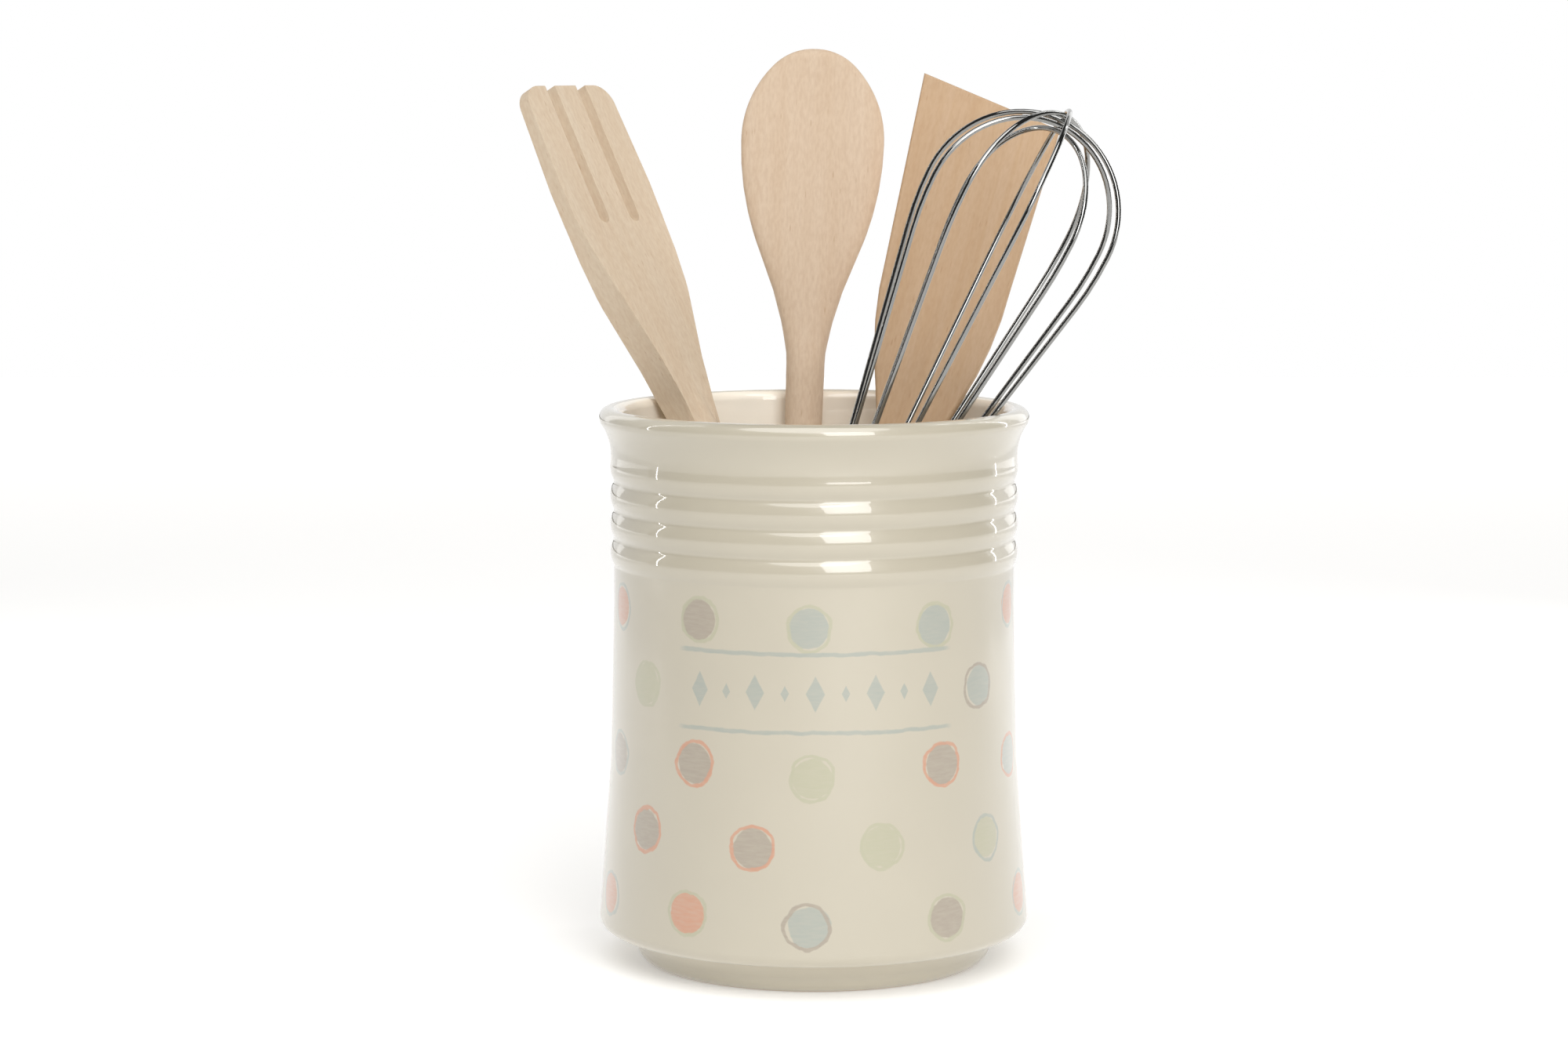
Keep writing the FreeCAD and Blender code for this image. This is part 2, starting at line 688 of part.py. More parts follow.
def make_wire_loop(placement, order, angle):
    """One loop of the cage, with both its legs in the filling."""
    body = new_body(f"whisk_wire_loop_{order + 1}")
    wire = size("wire_radius")
    leg = size("wire_ring_radius")
    bend = size("wire_bend_radius")
    bow = size("wire_bow_radius")
    (low_x, low_z), (high_x, high_z), (widest, shoulder), apex = loop_line(order)
    leg_end = ferrule_top - size("ferrule_wall") - size("wire_embed") + size("fit_gap")
    spine = new_sketch(body, "XZ_Plane", f"loop{order + 1}_spine")
    draw(spine, [
        (leg, leg_end, None),
        (leg, ferrule_top, -bend),
        (low_x, low_z, None),
        (high_x, high_z, bow),
        (widest, shoulder, widest),
        (ZERO, apex, widest),
        (-widest, shoulder, bow),
        (-high_x, high_z, None),
        (-low_x, low_z, -bend),
        (-leg, ferrule_top, None),
        (-leg, leg_end, None),
    ], closed=False)
    ring = new_sketch(body, "XY_Plane", f"loop{order + 1}_section", leg_end)
    draw_circle(ring, leg, wire)
    pipe = body.newObject("PartDesign::AdditivePipe", f"loop{order + 1}_wire")
    pipe.Profile = ring
    pipe.Spine = (spine, [])
    body.Placement = placement * FreeCAD.Placement(
        FreeCAD.Vector(), FreeCAD.Rotation(FreeCAD.Vector(0, 0, 1), angle)
    )


def make_whisk():
    placement = stand(whisk_stand_shares(), size("whisk_handle_end_radius"), sheet.whisk_turn)
    make_whisk_handle(placement)
    make_ferrule(placement)
    make_plug(placement)
    for order, angle in enumerate(LOOP_ANGLES):
        make_wire_loop(placement, order, angle)


def write_parts():
    """Recomputes the document, checks every object and writes each piece to its own file."""
    doc.recompute()
    failed = [
        item.Name for item in doc.Objects
        if "Invalid" in item.State or "Error" in item.State
    ]
    if failed:
        raise RuntimeError(f"objects that failed: {failed}")
    os.makedirs("parts", exist_ok=True)
    bodies = [item for item in doc.Objects if item.TypeId == "PartDesign::Body"]
    for body in bodies:
        shape = body.Shape
        if shape.isNull() or not shape.isValid() or len(shape.Solids) != 1:
            raise RuntimeError(f"{body.Label} is not one valid solid")
    for body in bodies:
        body.Shape.exportStep(f"parts/{body.Label}.step")
        print(f"{body.Label}: {body.Shape.Volume:.0f} mm3")


make_crock()
make_spoon()
make_fork()
make_spatula()
make_whisk()
write_parts()
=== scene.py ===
"""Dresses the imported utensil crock: glazed stoneware, bare beech utensils and a steel whisk."""
import bmesh
import bpy
import json
import math
from bpy.props import FloatProperty, FloatVectorProperty, IntProperty, PointerProperty
from mathutils import Matrix, Vector


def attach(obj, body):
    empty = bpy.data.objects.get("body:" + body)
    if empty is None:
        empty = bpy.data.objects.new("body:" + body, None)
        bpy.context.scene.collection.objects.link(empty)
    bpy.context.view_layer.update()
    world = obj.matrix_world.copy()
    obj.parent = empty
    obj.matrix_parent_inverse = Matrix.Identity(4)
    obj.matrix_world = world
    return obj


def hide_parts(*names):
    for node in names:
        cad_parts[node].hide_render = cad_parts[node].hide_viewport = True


bl_info = {
    "name": "Utensil crock",
    "version": (1, 0, 0),
    "blender": (4, 5, 0),
    "location": "3D View > Sidebar > Crock",
    "description": "Models a stoneware crock, the wooden utensils in it and a balloon whisk",
    "category": "Object",
}

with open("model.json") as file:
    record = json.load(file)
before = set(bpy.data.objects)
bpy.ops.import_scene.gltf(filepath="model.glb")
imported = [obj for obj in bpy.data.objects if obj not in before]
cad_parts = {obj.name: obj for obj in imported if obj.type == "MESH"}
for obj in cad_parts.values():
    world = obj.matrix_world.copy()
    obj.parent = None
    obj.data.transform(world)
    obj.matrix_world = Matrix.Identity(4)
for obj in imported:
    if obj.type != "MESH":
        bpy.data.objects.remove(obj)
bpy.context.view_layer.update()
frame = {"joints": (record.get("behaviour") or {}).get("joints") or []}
LEANS = {joint["child"]: Vector(joint["axis"]).normalized() for joint in frame["joints"]}
MM = 0.001


def colour(code):
    """Linear colour of an sRGB hex value, by the standard's own curve."""
    shades = [int(code[place:place + 2], 16) / 255 for place in (1, 3, 5)]
    return [shade / 12.92 if shade <= 0.04045 else ((shade + 0.055) / 1.055) ** 2.4 for shade in shades]


def length(name, description, millimetres):
    """A size that a user can set, shown in the scene's own unit."""
    return FloatProperty(name=name, description=description, default=millimetres * MM, unit="LENGTH",
                         precision=5)


def tint(name, description, code):
    """A colour that a user can set."""
    return FloatVectorProperty(name=name, description=description, default=colour(code), subtype="COLOR",
                               min=0, max=1)


def angle(name, description, degrees):
    """An angle that a user can set."""
    return FloatProperty(name=name, description=description, default=math.radians(degrees), subtype="ANGLE")


def foot_point(description, place):
    """Where the middle of a utensil's domed end stands, in millimetres from the crock's foot."""
    return FloatVectorProperty(name="Foot", description=description, default=[share * MM for share in place],
                               subtype="TRANSLATION", unit="LENGTH", precision=5)


class CrockSizes(bpy.types.PropertyGroup):
    height: length("Height", "From the foot to the top of the rim", 169.0)
    waist: length("Waist radius", "Radius in the valleys between the ribs", 60.7)
    wall: length("Wall", "Thickness of the body's wall", 5.0)
    rim: length("Rim", "Thickness of the rolled rim", 6.4)
    rim_flare: length("Rim flare", "How far the rim stands out past the neck", 3.45)
    neck_drop: length("Neck drop", "From the top of the rim down to the upright neck", 14.5)
    neck_inset: length("Neck inset", "How far the neck lies inside the ribs' crests", 0.15)
    rib_drop: length("Rib drop", "From the top of the rim down to the top rib", 18.0)
    rib_count: IntProperty(name="Ribs", description="Number of ribs under the neck", default=4, min=1)
    rib_pitch: length("Rib pitch", "From one rib to the next", 8.6)
    rib_height: length("Rib height", "How far a rib stands out", 1.0)
    rib_valley: length("Valley round", "Radius of the valleys between ribs", 2.0)
    waist_run: length("Waist run", "Straight stretch under the lowest rib", 10.0)
    shoulder_flare: length("Shoulder flare", "How far the body bows out to its shoulder", 4.7)
    shoulder_height: length("Shoulder height", "Height of the widest place above the foot", 14.0)
    shoulder_round: length("Shoulder round", "Radius under the widest place", 3.8)
    foot_inset: length("Foot inset", "How far the foot is set in under the shoulder", 7.4)
    foot_taper: length("Foot taper", "How far the foot draws in on its way down", 4.0)
    foot_band: length("Foot band", "Height of the upright part of the foot", 5.0)
    foot_round: length("Foot round", "Radius of the foot's lower edge", 4.5)
    foot_width: length("Foot width", "Width of the foot, from its side in to the recess", 9.0)
    foot_recess: length("Foot recess", "How far the underside is set up inside the ring", 3.5)
    floor: length("Floor", "Thickness of the floor", 6.5)
    inner_corner: length("Inner corner", "Radius between the floor and the inner wall", 9.0)
    glaze: tint("Glaze", "Cream glaze on the body", "#C6BEAB")
    # Painted light: the inner wall gets a paler cream that stands in for the brighter light inside the crock.
    # It is not a thicker pour of glaze.
    inner_glaze_painted_light: tint("Inner glaze", "Paler glaze, poured thicker, on the inner wall", "#F9F1E2")
    clay: tint("Clay", "Bare clay under the foot", "#CDB998")
    blue: tint("Blue", "Powder blue brushwork", "#A6AAA0")
    sage: tint("Sage", "Sage green brushwork", "#B6B398")
    coral: tint("Coral", "Faded coral brushwork", "#CA9477")
    taupe: tint("Taupe", "Taupe brushwork", "#A69A8A")
    dot_radius: length("Dot radius", "Radius of a painted dot", 6.5)
    dot_pitch: length("Dot pitch", "Height from one row of dots to the next", 21.5)
    dot_first: length("First dots", "Height of the lowest row of dots", 24.0)
    dot_count: IntProperty(name="Dots", description="Dots in one row round the body", default=10, min=3)
    band_middle: length("Band height", "Height of the middle of the painted band", 90.5)
    band_height: length("Band width", "From the lower line of the band to the upper one", 23.0)
    band_reach: length("Band reach", "How far the band runs from the middle of the front", 45.0)


class SpoonSizes(bpy.types.PropertyGroup):
    foot: foot_point("Middle of the spoon's domed end", (-7.71, 28.27, 16.1))
    turn: angle("Turn", "Turn of the head round the handle", 0)
    length: length("Length", "From the middle of the domed end to the tip", 263.4)
    handle: length("Handle radius", "Radius of the round handle", 5.8)
    neck: length("Neck", "Where the head starts", 145.0)
    fade: length("Fade", "Length in which the handle runs out into the head", 58.0)
    width: length("Head width", "Widest place of the head", 45.2)
    thick: length("Neck thickness", "Thickness of the head at its neck", 8.4)
    thin: length("Tip thickness", "Thickness of the head at its tip", 6.4)
    crown: length("Crown", "From the widest place to the tip", 29.2)
    bowl_length: length("Bowl length", "Length of the shallow bowl", 56.0)
    bowl_width: length("Bowl width", "Width of the shallow bowl", 34.0)
    bowl_depth: length("Bowl depth", "Depth of the shallow bowl", 2.6)


class ForkSizes(bpy.types.PropertyGroup):
    foot: foot_point("Middle of the fork's domed end", (23.644, -17.99, 16.6))
    turn: angle("Turn", "Turn of the head round the handle", 52)
    length: length("Length", "From the middle of the domed end to the tip", 279.8)
    handle: length("Handle radius", "Radius of the round handle", 6.3)
    neck: length("Neck", "Where the head starts", 140.0)
    fade: length("Fade", "Length in which the handle runs out into the head", 70.0)
    spread: length("Spread", "From the neck to the widest place of the head", 105.0)
    width: length("Head width", "Widest place of the head", 42.6)
    tip_width: length("Tip width", "Width of the head at its tip", 40.6)
    thick: length("Neck thickness", "Thickness of the head at its neck", 10.0)
    thin: length("Tip thickness", "Thickness of the head at its tip", 4.2)
    edge: length("Edge round", "Radius of the head's worked edges", 1.2)
    corner: length("Corner", "Radius of the corners of the tip", 7.0)
    slot_width: length("Slot width", "Width of the slots between the tines", 4.5)
    slot_length: length("Slot length", "Length of the slots between the tines", 48.0)
    slot_spacing: length("Slot spacing", "From the middle of one slot to the other", 14.5)


class SpatulaSizes(bpy.types.PropertyGroup):
    foot: foot_point("Middle of the spatula's domed end", (-7.813, 5.14, 16.1))
    turn: angle("Turn", "Turn of the blade round the handle", -4)
    length: length("Length", "From the middle of the domed end to the middle of the edge", 255.8)
    handle: length("Handle radius", "Radius of the round handle", 5.8)
    neck: length("Neck", "Where the blade starts", 105.0)
    fade: length("Fade", "Length in which the handle runs out into the blade", 75.0)
    spread: length("Spread", "From the neck to the parallel part of the blade", 95.0)
    width: length("Blade width", "Width of the blade above its spread", 40.0)
    tip_width: length("Edge width", "Width of the blade at its edge", 45.4)
    thick: length("Neck thickness", "Thickness of the blade at its neck", 7.6)
    thin: length("Edge thickness", "Thickness of the blade at its edge", 3.8)
    edge: length("Edge round", "Radius of the blade's worked edges", 1.1)
    slant: angle("Slant", "Slant of the blade's edge", 9.4)


class WhiskSizes(bpy.types.PropertyGroup):
    foot: foot_point("Middle of the whisk's domed end", (-43.947, -16.962, 17.8))
    turn: angle("Turn", "Turn of the first loop round the handle", 90)
    handle_length: length("Handle length", "From the middle of the domed end to the end of the tenon", 78.0)
    end: length("End radius", "Radius of the domed end", 7.5)
    belly: length("Belly radius", "Radius of the handle's belly", 9.2)
    sleeve: length("Sleeve radius", "Outer radius of the steel sleeve", 7.2)
    sleeve_wall: length("Sleeve wall", "Thickness of the sleeve", 0.8)
    sleeve_shown: length("Sleeve past tenon", "How far the sleeve stands past the tenon", 13.0)
    tenon: length("Tenon", "Length of the tenon in the sleeve", 12.0)
    cage_length: length("Cage length", "From the sleeve to the top of the cage", 178.0)
    cage_radius: length("Cage radius", "Radius of the widest loop", 33.6)
    cage_step: length("Cage step", "How much narrower each lower loop is", 1.2)
    wire: length("Wire radius", "Radius of the wire", 0.8)
    ring: length("Leg ring", "Radius of the ring of wire legs in the sleeve", 4.2)
    bend: length("Wire bend", "Radius of the bend at the sleeve", 30.0)
    bow: length("Wire bow", "Radius of the bow under the widest place", 90.0)
    embed: length("Wire embed", "Length of wire in the filling", 10.0)
    fit: length("Fit gap", "Gap between pieces that fit together", 0.1)


class FinishColours(bpy.types.PropertyGroup):
    beech: tint("Beech", "Bare beech, the pale summer wood", "#DDC9B2")
    fork_beech: tint("Fork beech", "Bare beech of the fork, a little greyer", "#D8C8B1")
    beech_grain: tint("Beech grain", "The darker grain of beech", "#C5A583")
    beech_fleck: tint("Beech fleck", "The short flecks of beech", "#A9805B")
    steel: tint("Steel", "Polished stainless steel", "#A0A09E")
    resin: tint("Resin", "Dark filling round the wire ends", "#3A3937")
    paper: tint("Floor", "Pale studio paper", "#E4E3E1")


class StageSizes(bpy.types.PropertyGroup):
    camera_distance: length("Camera distance", "From the crock's axis to the camera, level", 1250.0)
    camera_height: length("Camera height", "Height of the camera above the floor", 278.4)
    camera_aside: length("Camera aside", "How far left of the crock's axis the camera stands", 9.1)
    camera_pitch: angle("Camera pitch", "How far the camera looks down", 6.61)
    lens: FloatProperty(name="Lens", description="Focal length on a 36 mm sensor, in millimetres",
                        default=95.24, subtype="DISTANCE_CAMERA")
    floor_reach: length("Floor reach", "Half the width of the floor", 2200.0)
    room: FloatProperty(name="Room", description="Brightness of the dim room round the stage",
                        default=0.05, min=0)


# How a head's spread is shared between the hollow curve above its neck and the full curve over it.
SPOON_HOLLOW_SHARE = 0.58
FORK_HOLLOW_SHARE = 0.55
SPATULA_HOLLOW_SHARE = 0.60
# Radius of the spoon's tip, over half its width.
SPOON_TOP_SHARE = 0.80
# Half the width of a head at its neck, over the handle's radius.
ROOT_SHARE = 0.70
# How much of its fade a handle keeps its full radius for, and its last radius over the tip's thickness.
HOLD_SHARE = 0.30
FADE_END_SHARE = 0.25
# Side view of each head: (height, thickness) shares, from neck to tip and from tip to neck thickness.
SPOON_SIDE_SHARES = ((0.0, 0.8), (0.25, 1.0), (0.75, 0.6), (1.0, 0.0))
FORK_SIDE_SHARES = ((0.0, 0.75), (0.23, 1.0), (0.47, 0.90), (0.66, 0.22), (1.0, 0.0))
SPATULA_SIDE_SHARES = ((0.0, 0.9), (0.30, 1.0), (0.62, 0.35), (1.0, 0.0))
# The spoon's section goes from a circle to a squarer oval, and its head takes over in a part of the fade.
CIRCLE_POWER = 2.0
HEAD_POWER = 3.6
HEAD_TAKEOVER = 1 / 6
SOFT_CHANGE = 0.9 * MM
# Turn of each wire loop round the whisk's axis, from the top loop down.
LOOP_DEGREES = (0, -36, 72, -72, 36)

# How finely the meshes are divided.
ARC_STEP = math.radians(5)
LATHE_STEPS = 192
TURNED_STEPS = 48
SPOON_SIDES = 96
SPOON_STATIONS = 120
WIRE_SIDES = 16
EDGE_SEGMENTS = 4
MERGE_GAP = 0.01 * MM
SLIVER = 0.005 * MM
CREASE = math.radians(40)
SOFT_CREASE = math.radians(60)

# Pattern sizes in the glaze and its brushwork. An edge is where paint starts and where it is full.
CLAY_DRIFT = 25 * MM
GLAZE_WAVES = 12 * MM
THROWING_LINES = 3 * MM
THROWING_SHARE = 0.12
BRUSH_WANDER = 5 * MM
BRUSH_SLIP = 2.4 * MM
BRUSH_STREAK = 4 * MM
WAIST_MARGIN = 0.15 * MM
FLOOR_MARGIN = 0.5 * MM
DOT_ROWS = 5
DOT_JOG = 2 * MM
DOT_SEED = 7.0
DOT_EDGE = (0.98, 0.90)
RING_JOG = 1 * MM
RING_EDGE = (0.75 * MM, 0.3 * MM)
BAND_ROW = 3.0
BAND_SPACES = 1.2
BAND_FADE = 3 * MM
BAND_SLIP_SHARE = 0.5
LINE_EDGE = (0.85 * MM, 0.35 * MM)
LOZENGE_PITCH = 9.2 * MM
LOZENGE_HALF = 3.1 * MM
LOZENGE_RISE = 5.6 * MM
LOZENGE_EDGE = (1.0, 0.85)
LOZENGES_ASIDE = 4.5
BEAD_SHRINK = -0.55
# Pattern sizes in the bare clay, the beech, the steel, the resin and the paper.
CLAY_GRIT = 0.5 * MM
GRAIN_WIDTH = 4 * MM
FIBRE_WIDTH = 0.8 * MM
FLECK_SPACING = 1.2 * MM
FLECK_PATCH = 9 * MM
FLECK_CUT = -0.6
DRAW_LINES = 0.3 * MM
RESIN_RIPPLE = 1.5 * MM
PAPER_TOOTH = 1 * MM
# A MapRange node takes, in order, a value, the range that it comes from and the range that it goes to.
# A Mix node has its colour sockets behind those for numbers and vectors.
FACTOR, COLOUR_A, COLOUR_B, COLOUR_MIXED = 0, 6, 7, 2
WHITE = (1.0, 1.0, 1.0, 1.0)

# White panels stand left and right behind the crock, each with a bright edge, and a box beside the camera.
# A white card behind the crock gives the glaze and the wires their bright edges.
# Each has its place, its width and height in metres, and its watts.
SOFTBOXES = {
    "left_panel": ((-0.497, 0.336, 0.45), (0.585, 0.90), 0.9),
    "left_edge": ((-0.663, 0.068, 0.45), (0.016, 0.90), 0.5),
    "right_panel": ((0.431, 0.417, 0.45), (0.510, 0.90), 1.0),
    "right_edge": ((0.567, 0.321, 0.45), (0.016, 0.90), 0.5),
    "front_box": ((0.46, -1.38, 0.72), (0.71, 0.95), 11.0),
    "back_card": ((0.0, 2.20, 0.90), (4.00, 1.80), 20.0),
}
CROCK_MIDDLE = Vector((0, 0, 0.12))
SCRIM_STRENGTH = 2.0
SCRIM_SPREAD = math.radians(60)
SCRIM_TILT = math.radians(28)
SENSOR_WIDTH = 36
FAR_CLIP = 50


def arc_of(start, end, bend):
    """Centre and signed sweep of an arc from start to end; a positive bend turns left, a negative right."""
    chord = end - start
    turn = math.copysign(1, bend)
    half = chord.length / 2
    reach = math.sqrt(max(bend * bend - half * half, 0))
    side = Vector((-chord.y, chord.x)).normalized() * turn
    sweep = 2 * math.asin(min(half / abs(bend), 1)) * turn
    return start + chord / 2 + side * reach, sweep


def arc_steps(sweep, least):
    """How many straight runs an arc is drawn with."""
    return max(least, math.ceil(abs(sweep) / ARC_STEP))


def trace(corners, closed=True):
    """Points along lines and arcs. A corner is (x, y, bend), and bend shapes the run to the next one."""
    points = []
    runs = len(corners) if closed else len(corners) - 1
    for index in range(runs):
        x, y, bend = corners[index]
        start = Vector((x, y))
        end = Vector(corners[(index + 1) % len(corners)][:2])
        points.append(start)
        if bend is None:
            continue
        centre, sweep = arc_of(start, end, bend)
        steps = arc_steps(sweep, 2)
        for step in range(1, steps):
            points.append(centre + Matrix.Rotation(sweep * step / steps, 2) @ (start - centre))
    if not closed:
        points.append(Vector(corners[-1][:2]))
    return points


def draw(shape, points, closed):
    """Lays a run of points into the XZ plane as edges, and gives its vertices and edges."""
    corners = [shape.verts.new((point.x, 0, point.y)) for point in points]
    pairs = list(zip(corners, corners[1:]))
    if closed:
        pairs.append((corners[-1], corners[0]))
    return corners, [shape.edges.new(pair) for pair in pairs]


def lathe(shape, corners, closed, steps):
    """Spins an outline, drawn as (radius, height), round the Z axis."""
    verts, edges = draw(shape, trace(corners, closed), closed)
    bmesh.ops.spin(shape, geom=verts + edges, cent=(0, 0, 0), axis=(0, 0, 1), dvec=(0, 0, 0),
                   angle=2 * math.pi, steps=steps, use_merge=True)


def grow(shape, edges):
    """Extrudes a run of edges, and gives the new vertices and edges."""
    grown = bmesh.ops.extrude_edge_only(shape, edges=edges)["geom"]
    verts = [item for item in grown if isinstance(item, bmesh.types.BMVert)]
    return verts, [item for item in grown if isinstance(item, bmesh.types.BMEdge)]


def placement(foot, lean, turn):
    """From a utensil's own axes, Z up its handle and X across its head, to the crock's."""
    across = Vector((math.cos(turn), math.sin(turn), 0))
    across = (across - lean * across.dot(lean)).normalized()
    away = lean.cross(across)
    turned = Matrix((across, away, lean)).transposed().to_4x4()
    return Matrix.Translation(foot) @ turned


def finish_piece(shape, name, place, materials, body, nodes, crease=CREASE, carved=False):
    """Closes the shape, turns its faces outwards and puts it on its body in place of its solids."""
    bmesh.ops.remove_doubles(shape, verts=shape.verts, dist=MERGE_GAP)
    bmesh.ops.dissolve_degenerate(shape, edges=shape.edges, dist=SLIVER)
    bmesh.ops.recalc_face_normals(shape, faces=shape.faces)
    bmesh.ops.transform(shape, matrix=place, verts=shape.verts)
    for face in shape.faces:
        face.smooth = True
    for edge in shape.edges:
        edge.smooth = len(edge.link_faces) == 2 and edge.calc_face_angle() < crease
    mesh = bpy.data.meshes.new(name)
    shape.to_mesh(mesh)
    shape.free()
    piece = bpy.data.objects.new(name, mesh)
    bpy.context.scene.collection.objects.link(piece)
    for material in materials:
        mesh.materials.append(material)
    if carved:
        # Head and handle overlap, and become one skin here.
        union = piece.modifiers.new("one skin", "BOOLEAN")
        union.operation = "UNION"
        union.solver = "EXACT"
        union.operand_type = "COLLECTION"
        union.use_self = True
        normals = piece.modifiers.new("flat faces stay flat", "WEIGHTED_NORMAL")
        normals.keep_sharp = True
    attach(piece, body)
    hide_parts(*nodes)
    return piece


def add(tree, kind, inputs=(), **settings):
    """Adds a shader node with its settings. Its inputs, in order or by socket, are values to set or what to
    link: another node's output, or a node for its first one."""
    node = tree.nodes.new("ShaderNode" + kind)
    for name, value in settings.items():
        setattr(node, name, value)
    for socket, value in inputs.items() if isinstance(inputs, dict) else enumerate(inputs):
        if isinstance(value, bpy.types.Node):
            value = value.outputs[0]
        if isinstance(value, bpy.types.NodeSocket):
            tree.links.new(value, node.inputs[socket])
        else:
            node.inputs[socket].default_value = value
    return node


def new_material(name):
    """A material with an empty tree."""
    material = bpy.data.materials.new(name)
    material.use_nodes = True
    material.node_tree.nodes.clear()
    return material, material.node_tree


def opaque(shade, strength=1.0):
    """A colour for a socket, at full strength or made lighter or darker."""
    return (*[share * strength for share in shade], 1.0)


def own_axes(tree, place):
    """Object coordinates turned to a utensil's own axes, so that its pattern runs along it."""
    world = add(tree, "TexCoord").outputs["Object"]
    return add(tree, "Mapping", {
        "Vector": world, "Location": place.translation, "Rotation": place.to_euler()}, vector_type="TEXTURE")


def painted_dots(tree, sizes, height, bearing, slip, cover):
    """Rows of dots with outlines, every other row moved round by half a space, as masks with their paints."""
    rise = add(tree, "Math", [height, sizes.dot_first], operation="SUBTRACT")
    level = add(tree, "Math", [rise, sizes.dot_pitch], operation="DIVIDE")
    row = add(tree, "Math", [level], operation="ROUND")
    odd = add(tree, "Math", [row, 2.0], operation="FLOORED_MODULO")
    space = 2 * math.pi / sizes.dot_count
    around = add(tree, "Math", [bearing, space], operation="DIVIDE")
    around = add(tree, "Math", [odd, 0.5, around], operation="MULTIPLY_ADD")
    count = add(tree, "Math", [around], operation="ROUND")
    wrapped = add(tree, "Math", [count, float(sizes.dot_count)], operation="FLOORED_MODULO")
    seed = add(tree, "CombineXYZ", [wrapped, row, DOT_SEED])
    chance = add(tree, "TexWhiteNoise", {"Vector": seed}, noise_dimensions="3D").outputs
    shifts = add(tree, "SeparateColor", [chance["Color"]]).outputs
    body_radius = sizes.waist + sizes.shoulder_flare / 2
    across = add(tree, "Math", [around, count], operation="SUBTRACT")
    across = add(tree, "Math", [across, space * body_radius], operation="MULTIPLY")
    upward = add(tree, "Math", [level, row], operation="SUBTRACT")
    upward = add(tree, "Math", [upward, sizes.dot_pitch], operation="MULTIPLY")

    # Each dot sits a little off its place, and its outline a little off the dot.
    jog_x = add(tree, "Math", [shifts[0], -2 * DOT_JOG, DOT_JOG], operation="MULTIPLY_ADD")
    jog_z = add(tree, "Math", [shifts[1], -2 * DOT_JOG, DOT_JOG], operation="MULTIPLY_ADD")
    dot_x = add(tree, "Math", [across, jog_x], operation="ADD")
    dot_z = add(tree, "Math", [upward, jog_z], operation="ADD")
    spot = add(tree, "CombineXYZ", [dot_x, dot_z])
    away = add(tree, "VectorMath", [spot], operation="LENGTH").outputs["Value"]
    away = add(tree, "Math", [away, slip], operation="ADD")
    edge = [sizes.dot_radius * share for share in DOT_EDGE]
    filled = add(tree, "MapRange", [away, *edge], interpolation_type="SMOOTHSTEP")
    lean_x = add(tree, "Math", [shifts[2], 2 * RING_JOG, -RING_JOG], operation="MULTIPLY_ADD")
    ring_x = add(tree, "Math", [dot_x, lean_x], operation="ADD")
    ring_spot = add(tree, "CombineXYZ", [ring_x, dot_z])
    ring_away = add(tree, "VectorMath", [ring_spot], operation="LENGTH").outputs["Value"]
    ring_away = add(tree, "Math", [ring_away, slip], operation="SUBTRACT")
    ring_off = add(tree, "Math", [ring_away, sizes.dot_radius], operation="SUBTRACT")
    ring_off = add(tree, "Math", [ring_off], operation="ABSOLUTE")
    ringed = add(tree, "MapRange", [ring_off, *RING_EDGE], interpolation_type="SMOOTHSTEP")

    # Only so many rows are painted, and one of them keeps clear of the band on the front.
    low_row = add(tree, "Math", [row, -0.5], operation="GREATER_THAN")
    top_row = add(tree, "Math", [row, DOT_ROWS - 0.5], operation="LESS_THAN")
    half_odd = add(tree, "Math", [odd, -0.5, count], operation="MULTIPLY_ADD")
    from_front = add(tree, "Math", [half_odd], operation="ABSOLUTE")
    beside = add(tree, "Math", [from_front, BAND_SPACES], operation="LESS_THAN")
    band_row = add(tree, "Math", [row, BAND_ROW, 0.4], operation="COMPARE")
    kept_out = add(tree, "Math", [beside, band_row], operation="MULTIPLY")
    kept_in = add(tree, "Math", [1.0, kept_out], operation="SUBTRACT")
    painted = cover
    for mask in (low_row, top_row, kept_in):
        painted = add(tree, "Math", [painted, mask], operation="MULTIPLY")

    # Four pastel colours, picked for each dot and again for its outline.
    paints = (sizes.blue, sizes.sage, sizes.coral, sizes.taupe)
    layers = []
    for mask, pick in ((filled, chance["Value"]), (ringed, shifts[2])):
        palette = add(tree, "ValToRGB", [pick])
        ramp = palette.color_ramp
        ramp.interpolation = "CONSTANT"
        while len(ramp.elements) < len(paints):
            ramp.elements.new(1.0)
        for order, paint in enumerate(paints):
            ramp.elements[order].position = order / len(paints)
            ramp.elements[order].color = opaque(paint)
        layers.append((add(tree, "Math", [mask, painted], operation="MULTIPLY"), palette))
    return layers


